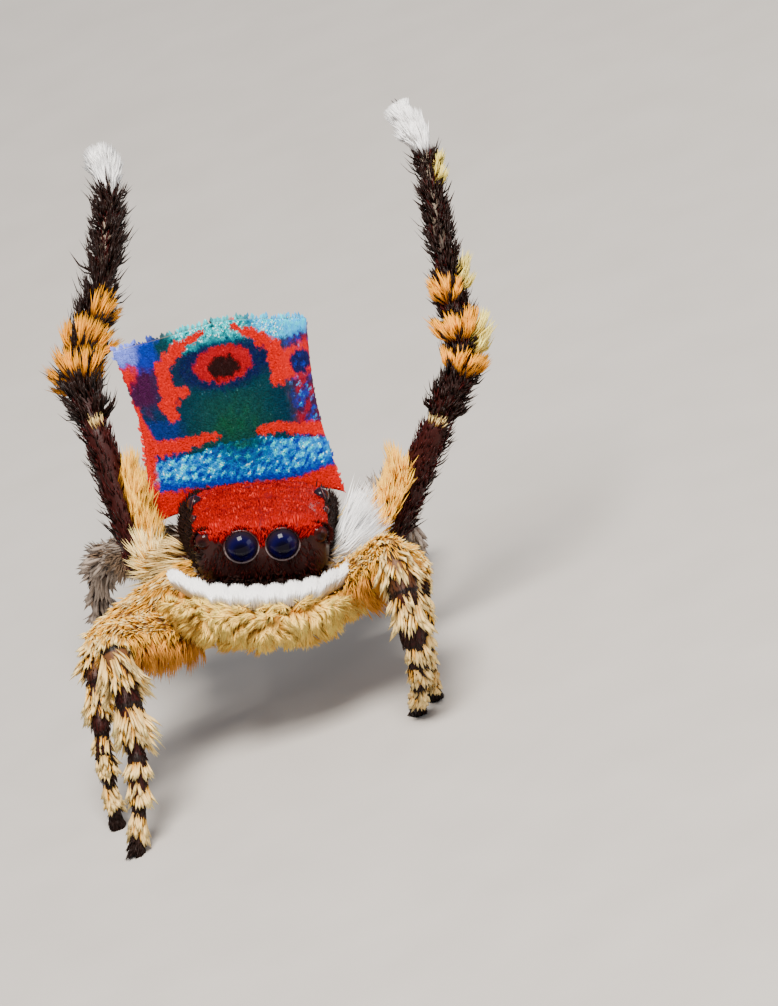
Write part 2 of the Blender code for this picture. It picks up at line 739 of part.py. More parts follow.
def cheek_locks():
    """Pale hair along the lower edge of the head's sides."""
    draw = random.Random(f"{SEED} cheeks")
    locks = []
    for sign in (-1, 1):
        for back in CHEEK_BACKS:
            root = (sign * (between(HEAD_STATIONS, back)[0] - CHEEK_SINK), back, CHEEK_UP)
            way = (sign * CHEEK_WAY[0], *CHEEK_WAY[1:])
            locks.append(Lock(root, way, CHEEK_LIE, CHEEK_LENGTH, CHEEK_WIDTH, draw))
    return locks


def rump_locks():
    """Coarse hair on the back and sides of the abdomen, lying up towards the spinnerets."""
    draw = random.Random(f"{SEED} rump")
    locks = []
    for row, height in enumerate(RUMP_HEIGHTS):
        for half_turns in spread(RUMP_PER_ROW, *RUMP_TURNS):
            turn = half_turns * math.pi + (row % 2 - 0.5) * RUMP_STAGGER
            out = Vector((math.cos(turn), math.sin(turn), 0))
            root = abdomen_point(height, turn) - out * RUMP_SINK
            up = Vector((0, 0, 1))
            locks.append(Lock(root, out * RUMP_LEAN + up, up, RUMP_LENGTH, RUMP_WIDTH, draw))
    return locks


class Crowd:
    """All solids built so far, to keep each lock clear of every node but its own."""

    def __init__(self):
        self.trees = []

    def add(self, name, mesh):
        self.trees.append((name, BVHTree.FromPolygons(mesh.points, mesh.faces)))

    def has_room(self, name, lock):
        room = lock.mesh(GAP)
        if min(p.z for p in room.points) < 0:
            return False
        tree = BVHTree.FromPolygons(room.points, room.faces)
        return not any(other != name and tree.overlap(solid) for other, solid in self.trees)

    def planted(self, name, locks):
        """The solids of those locks that have room."""
        meshes = []
        for lock in locks:
            if self.has_room(name, lock):
                mesh = lock.mesh()
                self.add(name, mesh)
                meshes.append(mesh)
        return meshes


def fan_edge(t, side):
    """Half width of the fan at a height: wide at its corners, and drawn in between them."""
    low, waist, high = FAN_HALVES[side]
    share = min(1.0, max(0.0, t / FAN_SHOULDER))
    drawn_in = (low + high) / 2 - waist
    return low * (1 - share) + high * share - drawn_in * math.sin(math.pi * share)


def fan_top(s):
    """Height of the fan's upper edge: a low hump between two corners."""
    return between(FAN_CREST, s)[0]


def fan_bottom(s):
    """Height of the fan's lower edge, a little higher behind the head."""
    share = min(1.0, abs(s) / FAN_HALVES["left"][0])
    return FAN_NOTCH * (1 - share ** 4)


def between(stations, place):
    """The values of a table of stations at a place between two of them."""
    for a, b in zip(stations, stations[1:]):
        if place <= b[0]:
            share = max(0.0, (place - a[0]) / (b[0] - a[0]))
            return [p + (q - p) * share for p, q in zip(a[1:], b[1:])]
    return stations[-1][1:]


def abdomen_point(height, turn):
    """A point of the bag: its height as a share, and its turn from the left side to the back."""
    width, depth = between(ABDOMEN_STATIONS, height)
    deep = ABDOMEN_DEPTH * depth
    z = ABDOMEN_LOW + (ABDOMEN_HIGH - ABDOMEN_LOW) * height
    return Vector((ABDOMEN_HALF_WIDTH * width * math.cos(turn), deep / 2 * (1 + math.sin(turn)), z))


def abdomen_mesh():
    """The bag of the abdomen, behind the fan's plate."""
    turns = [2 * math.pi * i / ABDOMEN_SIDES for i in range(ABDOMEN_SIDES)]
    return loft([[abdomen_point(station[0], turn) for turn in turns] for station in ABDOMEN_STATIONS])


def fan_place(s, t, lift):
    """A point of the fan: across it, up it, and in front of its middle surface."""
    high, low = FLAP_FOLDS_DEG["left" if s > 0 else "right"]
    fold = math.radians(low + (high - low) * min(1.0, max(0.0, t / FAN_HEIGHT)))
    x, y = s, 0.0
    if abs(s) > FLAP_ROOT:
        past = abs(s) - FLAP_ROOT
        x = math.copysign(FLAP_ROOT + past * math.cos(fold), s)
        y = past * math.sin(fold)
    return Vector((x, y - lift, t))


def slab(front, back, columns, rows):
    """A closed slab between two sheets of points alike, split into triangles alike on both."""
    width = columns + 1
    behind = len(front)
    faces = []
    for r in range(rows):
        for c in range(columns):
            a = r * width + c
            b, d, e = a + 1, a + width, a + width + 1
            faces += [[a, b, e], [a, e, d]]
            faces += [[behind + a, behind + e, behind + b], [behind + a, behind + d, behind + e]]
    rim = list(range(width))
    rim += [r * width + columns for r in range(1, rows + 1)]
    rim += [rows * width + c for c in range(columns - 1, -1, -1)]
    rim += [r * width for r in range(rows - 1, 0, -1)]
    for a, b in zip(rim, rim[1:] + rim[:1]):
        faces.append([a, b, behind + b, behind + a])
    return Mesh(front + back, faces).facing_out()


def fan_slab(sides_at, columns, rows):
    """A slab of the fan between its two sides, whose places across it are given for a height."""
    sheets = []
    for lift in (FAN_THICKNESS / 2, -FAN_THICKNESS / 2):
        sheet = []
        for r in range(rows + 1):
            up = r / rows
            for s in spread(columns + 1, *sides_at(up * FAN_SHOULDER)):
                t = fan_bottom(s) + (fan_top(s) - fan_bottom(s)) * up
                sheet.append(fan_place(s, t, lift))
        sheets.append(sheet)
    return slab(*sheets, columns, rows)


def middle_plate():
    """The part of the fan that lies on the abdomen, between the flaps."""
    half = FLAP_ROOT - GAP / 2
    return fan_slab(lambda t: (-half, half), *PLATE_GRID)


def flap(side):
    """One flap, from its root to the fan's edge."""
    sign = side_sign(side)
    root = sign * (FLAP_ROOT + GAP / 2)
    return fan_slab(lambda t: (root, sign * fan_edge(t, side)), *FLAP_GRID)


def waist_limb():
    """The thin waist between thorax and abdomen."""
    frame = head_frame()
    fan = fan_frame()
    start = frame @ Vector(WAIST_START)
    end = fan @ Vector(WAIST_END)
    return Limb([start, start.lerp(end, 0.5), end], WAIST_RADII, (1.0, 1.0))


def spinneret_meshes():
    """The cluster of spinnerets at the upper end of the abdomen, behind the fan."""
    meshes = []
    for across, up, size in SPINNERETS:
        aside = Vector((across, 0, up))
        start = Vector((0, SPINNERET_BACK, SPINNERET_UP)) + aside * SPINNERET_CLOSE
        end = start + (aside + Vector(SPINNERET_WAY)).normalized() * SPINNERET_LENGTH * size
        radius = SPINNERET_RADIUS * size
        limb = Limb([start, end], (radius, radius * SPINNERET_TIP), (1.1,))
        meshes.append(loft([limb.ring(s) for s in (0, limb.length * 0.5, limb.length)]))
    return meshes


# Making the objects.


def scratch_object(name, mesh):
    """An object one thousand times too large, so that cuts keep their precision."""
    data = bpy.data.meshes.new(name)
    data.from_pydata([tuple(p) for p in mesh.points], [], mesh.faces)
    obj = bpy.data.objects.new(name, data)
    bpy.context.scene.collection.objects.link(obj)
    return obj


def add_boolean(obj, operation, meshes, solver):
    """A Boolean with a collection of closed pieces, which is returned for removal."""
    pieces = bpy.data.collections.new(f"{obj.name}_{operation.lower()}")
    bpy.context.scene.collection.children.link(pieces)
    for i, mesh in enumerate(meshes):
        piece = scratch_object(f"{pieces.name}_{i}", mesh)
        bpy.context.scene.collection.objects.unlink(piece)
        pieces.objects.link(piece)
    modifier = obj.modifiers.new(operation.title(), "BOOLEAN")
    modifier.operation = operation
    modifier.operand_type = "COLLECTION"
    modifier.collection = pieces
    modifier.solver = solver
    return pieces


def combined(name, meshes, cutters, solver):
    """The first piece with the others joined to it and the cutters taken away."""
    obj = scratch_object(f"{name}_fusing", meshes[0])
    collections = []
    if len(meshes) > 1:
        collections.append(add_boolean(obj, "UNION", meshes[1:], solver))
    if cutters:
        collections.append(add_boolean(obj, "DIFFERENCE", cutters, solver))
    evaluated = obj.evaluated_get(bpy.context.evaluated_depsgraph_get())
    data = evaluated.to_mesh()
    points = [v.co.copy() for v in data.vertices]
    faces = [list(face.vertices) for face in data.polygons]
    evaluated.to_mesh_clear()
    for pieces in collections:
        for piece in list(pieces.objects):
            bpy.data.objects.remove(piece)
        bpy.data.collections.remove(pieces)
    bpy.data.objects.remove(obj)
    return Mesh(points, faces)


def fused(name, meshes, cutters=()):
    """One closed mesh: the exact solver's, or the manifold solver's where that one leaves a hole."""
    if len(meshes) == 1 and not cutters:
        return meshes[0]
    for solver in ("EXACT", "MANIFOLD"):
        whole = combined(name, meshes, cutters, solver)
        for weld, method in itertools.product(WELDS, TRIANGLE_METHODS):
            mesh = largest_surface(whole, weld, method)
            if mesh.is_closed():
                return mesh
    raise ValueError(f"{name} isn't closed")


def largest_surface(mesh, weld, method):
    """The largest of a mesh's separate surfaces, in triangles, with points closer than the weld joined."""
    bm = bmesh.new()
    verts = [bm.verts.new(p) for p in mesh.points]
    for face in mesh.faces:
        bm.faces.new([verts[i] for i in face])
    bmesh.ops.remove_doubles(bm, verts=bm.verts, dist=weld)
    bmesh.ops.triangulate(bm, faces=bm.faces, quad_method=method[0], ngon_method=method[1])
    unseen = set(bm.faces)
    largest = []
    while unseen:
        waiting = [unseen.pop()]
        surface = []
        while waiting:
            face = waiting.pop()
            surface.append(face)
            for edge in face.edges:
                for other in edge.link_faces:
                    if other in unseen:
                        unseen.remove(other)
                        waiting.append(other)
        if len(surface) > len(largest):
            largest = surface
    kept = set(largest)
    bmesh.ops.delete(bm, geom=[face for face in bm.faces if face not in kept], context="FACES")
    loose = [v for v in bm.verts if not v.link_faces]
    bmesh.ops.delete(bm, geom=loose, context="VERTS")
    bm.verts.index_update()
    points = [v.co.copy() for v in bm.verts]
    faces = [[v.index for v in face.verts] for face in bm.faces]
    bm.free()
    return Mesh(points, faces)


def plain_pieces():
    """The bare pieces of every node in the stand frame, and the eye sockets."""
    frame = head_frame()
    fan = fan_frame()
    waist = waist_limb()
    middle = waist.length / 2
    sockets = []
    pieces = {}
    for side in ("left", "right"):
        for name in EYES:
            pieces[f"eye_{name}_{side}"] = [eye_mesh(name, side).moved(frame)]
            sockets.append(eye_mesh(name, side, GAP).moved(frame))
        pieces[f"chelicera_{side}"] = [jaw_mesh(side).moved(frame)]
        limb = palp(side)
        tube = loft([limb.ring(s) for s in limb.places(PALP_START, limb.length)])
        pieces[f"palp_{side}"] = [tube.moved(frame)]
        pieces[f"fan_flap_{side}"] = [flap(side).moved(fan)]
    rear = loft([waist.ring(s) for s in (middle + GAP / 2, waist.length)])
    front = loft([waist.ring(s) for s in (0.0, middle - GAP / 2)])
    pieces["abdomen"] = [abdomen_mesh().moved(fan), middle_plate().moved(fan), rear]
    pieces["cephalothorax"] = [head_mesh().moved(frame), front, *coxa_meshes()]
    pieces["spinnerets"] = [mesh.moved(fan) for mesh in spinneret_meshes()]
    return pieces, sockets


def build_nodes():
    """Every node in the stand frame, with its coat: name to Mesh."""
    frame = head_frame()
    fan = fan_frame()
    pieces, sockets = plain_pieces()
    coats = {"cephalothorax": [lock.moved(frame) for lock in cheek_locks()]}
    coats["abdomen"] = [lock.moved(fan) for lock in rump_locks()]
    for side in ("left", "right"):
        coats[f"palp_{side}"] = [lock.moved(frame) for lock in palp_locks(side)]
        for number in HIPS:
            limb, parts = leg_pieces(number, side)
            for name, start, end, foot in parts:
                kind = name.split("_")[-1]
                reference = Vector((0, 0, 1)) if kind == "femur" and number != 3 else Vector((0, -1, 0))
                pieces[name] = [limb.tube(start, end, foot)]
                coats[name] = leg_locks(limb, name, start, end, COATS[number, kind], reference)
    crowd = Crowd()
    for name, meshes in pieces.items():
        for mesh in meshes:
            crowd.add(name, mesh)
    for name, locks in coats.items():
        pieces[name] += crowd.planted(name, locks)
    nodes = {}
    for name, meshes in pieces.items():
        nodes[name] = fused(name, meshes, sockets if name == "cephalothorax" else ())
    return nodes


def finish_for(name):
    for start, finish in FINISHES.items():
        if name.startswith(start):
            return finish
    raise KeyError(name)


def make_object(name, mesh, shift):
    """The node itself, in metres, with a material of its own."""
    data = bpy.data.meshes.new(name)
    data.from_pydata([(p + shift) * MM for p in mesh.points], [], mesh.faces)
    obj = bpy.data.objects.new(name, data)
    bpy.context.scene.collection.objects.link(obj)
    colour, roughness = finish_for(name)
    material = bpy.data.materials.new(name)
    material.use_nodes = True
    shader = material.node_tree.nodes["Principled BSDF"]
    shader.inputs["Base Color"].default_value = (*colour, 1)
    shader.inputs["Roughness"].default_value = roughness
    shader.inputs["Metallic"].default_value = 0.0
    data.materials.append(material)
    return obj


def main():
    for obj in list(bpy.data.objects):
        bpy.data.objects.remove(obj)
    nodes = build_nodes()
    points = [p for mesh in nodes.values() for p in mesh.points]
    middle_x = (min(p.x for p in points) + max(p.x for p in points)) / 2
    middle_y = (min(p.y for p in points) + max(p.y for p in points)) / 2
    shift = Vector((-middle_x, -middle_y, 0))
    for name, mesh in nodes.items():
        make_object(name, mesh, shift)


main()
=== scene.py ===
"""A male peacock spider in display, dressed for the camera: skin, coats, glittering fan, eyes and light.

Shapes are laid out in millimetres in the stand frame: floor at z = 0, the point midway between the
big front eyes on the z axis, and the face towards -Y, so that the animal's own left is +X. Each
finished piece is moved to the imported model's frame in metres by one shift, read from the eyes' boxes.
"""

import logging
import math
from collections.abc import Callable
from dataclasses import dataclass, field
from enum import Enum

import bpy
import numpy as np
from mathutils import Matrix, Vector
from mathutils.kdtree import KDTree


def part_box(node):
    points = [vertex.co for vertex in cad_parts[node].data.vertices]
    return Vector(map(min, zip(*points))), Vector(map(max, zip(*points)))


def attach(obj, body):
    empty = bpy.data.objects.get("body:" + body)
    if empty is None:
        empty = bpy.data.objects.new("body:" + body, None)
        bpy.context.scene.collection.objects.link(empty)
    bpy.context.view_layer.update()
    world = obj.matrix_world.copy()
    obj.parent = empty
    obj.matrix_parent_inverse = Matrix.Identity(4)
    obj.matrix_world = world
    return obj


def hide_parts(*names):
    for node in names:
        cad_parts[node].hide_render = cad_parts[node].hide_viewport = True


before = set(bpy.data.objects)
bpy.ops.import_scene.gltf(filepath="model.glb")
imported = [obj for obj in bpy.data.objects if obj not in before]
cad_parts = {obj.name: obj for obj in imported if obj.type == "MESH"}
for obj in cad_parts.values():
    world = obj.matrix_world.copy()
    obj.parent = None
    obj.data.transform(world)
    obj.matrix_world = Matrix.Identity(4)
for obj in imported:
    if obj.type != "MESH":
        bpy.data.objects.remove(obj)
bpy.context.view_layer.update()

Array = np.ndarray
Random = np.random.Generator
Piece = bpy.types.Object
Node = bpy.types.Node
Socket = bpy.types.NodeSocket
Operator = Callable[..., set[str]]
Form = Callable[[Array, Array], Array]
Pair = tuple[float, float]
Bone = tuple[float, float, float]
Colour = tuple[float, float, float]
Line = tuple[Pair, ...]
Table = tuple[tuple[float, ...], ...]
log = logging.getLogger("peacock_spider")

MM = 0.001
SEED = 11
MARKING = "Marking"
BAKE_MAP = "OFBake"
PATCH = 0.0015


class Side(Enum):
    """The animal's own sides, with the sign of x on each."""

    LEFT = 1
    RIGHT = -1

    @property
    def label(self) -> str:
        """The side's name as the nodes spell it."""
        return self.name.lower()


class Tone(Enum):
    """Colours of hair, at the root and at the tip, in linear light."""

    @property
    def root(self) -> Colour:
        """The colour at the root."""
        return self.value[0]

    @property
    def tip(self) -> Colour:
        """The colour at the tip."""
        return self.value[1]

    CROWN = ((0.15, 0.0006, 0.001), (0.42, 0.003, 0.002))
    DUSK = ((0.006, 0.003, 0.002), (0.020, 0.009, 0.007))
    ASH = ((0.16, 0.12, 0.095), (0.46, 0.37, 0.30))
    WHITE = ((0.80, 0.79, 0.78), (0.98, 0.97, 0.96))
    CREAM = ((0.50, 0.27, 0.06), (1.0, 0.76, 0.32))
    GOLD = ((0.42, 0.16, 0.010), (1.0, 0.54, 0.060))
    AMBER = ((0.28, 0.085, 0.008), (0.80, 0.34, 0.045))
    STRAW = ((0.50, 0.36, 0.05), (0.98, 0.80, 0.20))
    ORANGE = ((0.40, 0.11, 0.004), (0.94, 0.39, 0.010))
    RING = ((0.006, 0.002, 0.001), (0.024, 0.008, 0.005))
    BRISTLE = ((0.005, 0.002, 0.001), (0.017, 0.006, 0.004))
    RUST = ((0.010, 0.001, 0.001), (0.050, 0.003, 0.002))
    TAN = ((0.10, 0.060, 0.036), (0.30, 0.20, 0.125))


# Small tools for arrays of points.


def unit(vectors: Array) -> Array:
    """Vectors of length one."""
    return vectors / np.maximum(np.linalg.norm(vectors, axis=-1, keepdims=True), 1e-12)


def mix(first: Array | Colour, second: Array | Colour, share: Array | float) -> Array:
    """The first blended into the second by a share, for each row or one for all."""
    share = np.asarray(share)[..., None]
    return np.asarray(first) * (1 - share) + np.asarray(second) * share


def beside(*columns: Array | float) -> Array:
    """Columns side by side as rows, with single numbers repeated."""
    return np.stack(np.broadcast_arrays(*columns), axis=1)


def step(low: float, high: float, value: Array) -> Array:
    """A soft step from 0 below the low edge to 1 above the high one."""
    share = np.clip((value - low) / (high - low), 0, 1)
    return share * share * (3 - 2 * share)


def ripple(points: Array, size: float, seed: int, waves: int = 7) -> Array:
    """Soft random noise between about -1 and 1 that follows the place.

    Args:
        points: Places, one row each.
        size: Width of the noise's patches, in the units of the places.
        seed: Which noise.
        waves: How many waves are added.

    Returns:
        One value for each place.
    """
    draw = np.random.default_rng(SEED * 1000 + seed)
    total = np.zeros(len(points))
    for _ in range(waves):
        way = unit(draw.normal(size=points.shape[1])) * 2 * math.pi / (size * draw.uniform(1.2, 3.2))
        total += np.sin(points @ way + draw.uniform(0, 2 * math.pi))
    return total / math.sqrt(waves)


def outward(normals: Array, points: Array, middle: Array) -> Array:
    """Normals turned away from a middle place for each."""
    inward = np.sum((points - middle) * normals, axis=1) < 0
    return normals * np.where(inward, -1, 1)[:, None]


def along_line(points: Array, line: Array) -> tuple[Array, Array]:
    """How far places lie from a line of joints, and where along it they are.

    Args:
        points: Places, one row each.
        line: Joints of the line, one row each.

    Returns:
        Distances, and places along the line from 0 at its start to 1 at its end.
    """
    nearest = np.full(len(points), np.inf)
    share = np.zeros(len(points))
    count = len(line) - 1
    for i in range(count):
        way = line[i + 1] - line[i]
        place = np.clip((points - line[i]) @ way / (way @ way), 0, 1)
        distance = np.linalg.norm(points - line[i] - place[:, None] * way, axis=1)
        closer = distance < nearest
        nearest = np.where(closer, distance, nearest)
        share = np.where(closer, (i + place) / count, share)
    return nearest, share


def between(places: Array, stops: Array, rows: Array) -> Array:
    """Rows of a table, one at each stop, read at places between the stops."""
    return np.stack([np.interp(places, stops, column) for column in np.asarray(rows).T], axis=1)


def smooth_table(table: Table, places: Array, reach: float) -> Array:
    """Columns of a table of stations, read at places and rounded over a reach.

    Args:
        table: Stations, each with its place first.
        places: Where to read it.
        reach: How far the rounding averages to either side.

    Returns:
        One row for each column of values.
    """
    stations = np.array(table)
    steps = np.linspace(-reach, reach, 9)
    rows = []
    for column in stations.T[1:]:
        rows.append(np.mean([np.interp(places + d, stations[:, 0], column) for d in steps], axis=0))
    return np.array(rows)


class Axes:
    """A frame of part of the animal, such as its head's, inside the stand frame."""

    def __init__(self, matrix: Matrix) -> None:
        """Takes the frame's place as a matrix."""
        self.matrix = matrix
        self.turning = np.array(matrix.to_3x3())
        self.origin = np.array(matrix.translation)

    def place(self, points: Array) -> Array:
        """Own places in the stand frame."""
        return points @ self.turning.T + self.origin

    def turn(self, ways: Array) -> Array:
        """Own directions in the stand frame."""
        return ways @ self.turning.T

    def local(self, points: Array) -> Array:
        """Places of the stand frame in this one."""
        return (points - self.origin) @ self.turning


def turning(degrees: float, axis: str) -> Matrix:
    """A turn about an axis."""
    return Matrix.Rotation(math.radians(degrees), 4, axis)


# Finishes.


class Graph:
    """A new material's nodes, made, set and joined by short calls."""

    def __init__(self, name: str) -> None:
        """Starts a material of a name with the shader that it comes with."""
        self.material = bpy.data.materials.new(name)
        self.material.use_nodes = True
        self.shader = self.material.node_tree.nodes["Principled BSDF"]

    def put(self, node: Node, values: dict[str | int, object]) -> Node:
        """Sets a node's inputs.

        Args:
            node: The node.
            values: For each input a constant, or another node's socket to join to it.

        Returns:
            The same node.
        """
        for name, value in values.items():
            if isinstance(value, Socket):
                self.material.node_tree.links.new(value, node.inputs[name])
            else:
                node.inputs[name].default_value = value
        return node

    def add(self, kind: str, values: dict[str | int, object] | None = None) -> Node:
        """A new node of a kind, with its inputs set."""
        return self.put(self.material.node_tree.nodes.new(f"ShaderNode{kind}"), values or {})


@dataclass(frozen=True)
class Finish:
    """A surface whose colour comes from the markings, with fine grain, bump and gloss of its own."""

    name: str
    slot: str
    roughness: float = 0.6
    roughness_swing: float = 0.1
    metallic: float = 0.0
    specular: float = 0.5
    coat: float = 0.0
    coat_roughness: float = 0.08
    sheen: float = 0.0
    grain: float = 0.15
    grain_size_mm: float = 0.03
    bump: float = 0.0
    bump_size_mm: float = 0.02
    bump_depth_mm: float = 0.004

    def material(self) -> bpy.types.Material:
        """The finish as a material, made once.

        Returns:
            The material.
        """
        known = bpy.data.materials.get(self.name)
        if known:
            return known
        graph = Graph(self.name)
        marking = graph.add("VertexColor")
        marking.layer_name = MARKING
        place = graph.add("TexCoord").outputs["Object"]
        grain = self._noise(graph, place, self.grain_size_mm, 3.0)
        tint = graph.add("MapRange", {"Value": grain, "To Min": 1 - self.grain, "To Max": 1 + self.grain})
        shade = graph.add("VectorMath")
        shade.operation = "SCALE"
        graph.put(shade, {0: marking.outputs["Color"], "Scale": tint.outputs["Result"]})
        low, high = self.roughness - self.roughness_swing, self.roughness + self.roughness_swing
        gloss = graph.add("MapRange", {"Value": grain, "To Min": max(0.0, low), "To Max": min(1.0, high)})
        looks = {
            "Metallic": self.metallic,
            "Specular IOR Level": self.specular,
            "Coat Weight": self.coat,
            "Coat Roughness": self.coat_roughness,
            "Sheen Weight": self.sheen,
            "Base Color": shade.outputs["Vector"],
            "Roughness": gloss.outputs["Result"],
        }
        if self.bump:
            relief = self._noise(graph, place, self.bump_size_mm, 5.0)
            depth = self.bump_depth_mm * MM
            bump = graph.add("Bump", {"Height": relief, "Strength": self.bump, "Distance": depth})
            looks["Normal"] = bump.outputs["Normal"]
        graph.put(graph.shader, looks)
        return graph.material

    def _noise(self, graph: Graph, place: Socket, size: float, detail: float) -> Socket:
        """Noise with patches of a size in millimetres, and so much finer detail."""
        scale = 1 / (size * MM)
        return graph.add("TexNoise", {"Vector": place, "Scale": scale, "Detail": detail}).outputs["Fac"]


SKIN = Finish(
    "spider_skin", "carapace_setae", 0.45, 0.15, specular=0.16, grain=0.25, grain_size_mm=0.05, bump=0.7
)
CROWN = Finish("crown_setae", "carapace_setae", 0.6, 0.14, specular=0.04, grain=0.35, grain_size_mm=0.02)
PALE = Finish("pale_setae", "white_setae", 0.62, 0.1, specular=0.3, sheen=0.15, grain=0.05)
GOLDEN = Finish("golden_setae", "leg_setae", 0.5, 0.12, specular=0.16, grain=0.18)
DARK = Finish("dark_setae", "third_leg_setae", 0.38, 0.12, specular=0.2, grain=0.2)
HIND = Finish("abdomen_hair", "abdomen_setae", 0.55, 0.12, sheen=0.3, grain=0.2)
SCALE = Finish(
    "fan_scale", "fan_scales", 0.36, 0.16, metallic=0.12,
    specular=0.10, coat=0.04, grain=0.2, grain_size_mm=0.02,
)
LENS = Finish("wet_lens", "eye_lens", 0.12, 0.03, specular=0.04, coat=0.16, coat_roughness=0.03, grain=0.1)
RIM = Finish("eye_rim", "carapace_setae", 0.35, 0.1, grain=0.2, bump=0.4)
JAW = Finish("jaw_horn", "jaw_shell", 0.28, 0.1, coat=0.4, grain=0.3, bump=0.5)
CLAW = Finish("claw", "third_leg_setae", 0.3, 0.1, grain=0.2)


# Pieces of the scene.


class Stand:
    """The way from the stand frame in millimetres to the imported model's frame in metres."""

    def __init__(self, eye: Array) -> None:
        """Reads the shift from the boxes of the two big eyes, whose middle is given in the stand frame."""
        corners = [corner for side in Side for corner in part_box(f"eye_anterior_median_{side.label}")]
        self.shift = np.mean(np.array([list(corner) for corner in corners]), axis=0) - eye * MM

    def metres(self, points: Array) -> Array:
        """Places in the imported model's frame, none of them under the floor."""
        lifted = np.array(points)
        lifted[:, 2] = np.maximum(lifted[:, 2], 0)
        return lifted * MM + self.shift

    def finish(self, piece: Piece, finish: Finish, nodes: list[str]) -> None:
        """Moves a piece built in millimetres to its place, dresses it and fastens it.

        Args:
            piece: The piece, with its place in its mesh.
            finish: Its surface.
            nodes: The CAD nodes that it stands for.
        """
        set_points(piece, self.metres(points_of(piece)))
        piece.data.materials.clear()
        piece.data.materials.append(finish.material())
        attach(piece, "root")
        if nodes:
            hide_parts(*nodes)
        log.info("%s: %d faces", piece.name, len(piece.data.polygons))


def points_of(piece: Piece) -> Array:
    """The points of a piece's mesh, one row each."""
    flat = np.empty(len(piece.data.vertices) * 3)
    piece.data.vertices.foreach_get("co", flat)
    return flat.reshape(-1, 3)


def set_points(piece: Piece, points: Array) -> None:
    """Moves the points of a piece's mesh."""
    piece.data.vertices.foreach_set("co", points.astype(np.float32).ravel())
    piece.data.update()


def mark(piece: Piece, colours: Array) -> None:
    """Stores the markings on a piece's points.

    Args:
        piece: The piece.
        colours: Linear red, green and blue for each point.
    """
    layer = piece.data.color_attributes.new(MARKING, "FLOAT_COLOR", "POINT")
    rgba = np.ones((len(colours), 4), dtype=np.float32)
    rgba[:, :3] = np.clip(colours, 0, 1)
    layer.data.foreach_set("color", rgba.ravel())


def only(*pieces: Piece) -> None:
    """Selects the given pieces alone, the first of them active."""
    bpy.ops.object.select_all(action="DESELECT")
    for piece in pieces:
        piece.select_set(True)
    bpy.context.view_layer.objects.active = pieces[0]


def primitive(name: str, add: Operator, **sizes: object) -> Piece:
    """A new primitive, alone selected, with its place and turn in its mesh.

    Args:
        name: Its name.
        add: The operator that adds it.
        sizes: What the operator is given.

    Returns:
        The new object.
    """
    bpy.ops.object.select_all(action="DESELECT")
    add(**sizes)
    piece = bpy.context.view_layer.objects.active
    piece.name = name
    piece.data.name = name
    bpy.ops.object.transform_apply(location=True, rotation=True, scale=True)
    return piece


def shaped_ball(name: str, segments: int, rings: int, surface: Form) -> Piece:
    """A ball shaped into a closed form.

    Args:
        name: Its name.
        segments: Points round it.
        rings: Rows from pole to pole.
        surface: Gives the place for a share from pole to pole and a turn round the form.

    Returns:
        The shaped object.
    """
    add = bpy.ops.mesh.primitive_uv_sphere_add
    piece = primitive(name, add, segments=segments, ring_count=rings, radius=1.0)
    points = points_of(piece)
    share = np.arccos(np.clip(points[:, 2], -1, 1)) / math.pi
    turn = np.arctan2(points[:, 1], points[:, 0])
    set_points(piece, surface(share, turn))
    return piece


def tube(name: str, points: Array, radii: Array, sides: int = 6) -> Piece:
    """A closed tube along a line, from a bevelled curve made a mesh.

    Args:
        name: Its name.
        points: The line's points.
        radii: The tube's radius at each.
        sides: The bevel's resolution.

    Returns:
        The tube.
    """
    curve = bpy.data.curves.new(name, "CURVE")
    curve.dimensions = "3D"
    curve.bevel_depth = 1.0
    curve.bevel_resolution = sides
    curve.use_fill_caps = True
    spline = curve.splines.new("POLY")
    spline.points.add(len(points) - 1)
    for knot, point, radius in zip(spline.points, points, radii):
        knot.co = (*point, 1)
        knot.radius = float(radius)
    piece = bpy.data.objects.new(name, curve)
    bpy.context.scene.collection.objects.link(piece)
    only(piece)
    bpy.ops.object.convert(target="MESH")
    return bpy.context.view_layer.objects.active


# Hair and scales, grown as joined meshes.


@dataclass
class Hairs:
    """Many hairs or scales: where each is rooted, which way it goes and bends, its size and its colours."""

    root: Array
    heading: Array
    bend: Array
    length: Array
    width: Array
    root_colour: Array
    tip_colour: Array
    patch: Array

    @staticmethod
    def joined(groups: list["Hairs"]) -> "Hairs":
        """Several growths as one."""
        names = Hairs.__dataclass_fields__
        return Hairs(*(np.concatenate([getattr(group, name) for group in groups]) for name in names))

    def clumped(self, count: int, pull: float, draw: Random) -> "Hairs":
        """The same hairs with their tips drawn together into tufts.

        Args:
            count: How many hairs are the middle of a tuft.
            pull: How far each tip goes towards its tuft's tip.
            draw: Random numbers.

        Returns:
            These hairs, changed.
        """
        middles = draw.choice(len(self.root), min(count, len(self.root)), replace=False)
        tree = KDTree(len(middles))
        for k, i in enumerate(middles):
            tree.insert(self.root[i], k)
        tree.balance()
        near = np.array([middles[tree.find(root)[1]] for root in self.root])
        tips = self.root + self.heading * self.length[:, None]
        goal = self.root[near] + self.heading[near] * self.length[near][:, None]
        pulled = mix(tips, goal, pull) - self.root
        self.heading = unit(pulled)
        shade = 1 + 0.22 * (draw.random(len(self.root))[near] - 0.5)[:, None]
        self.root_colour = self.root_colour * shade
        self.tip_colour = self.tip_colour * shade
        return self


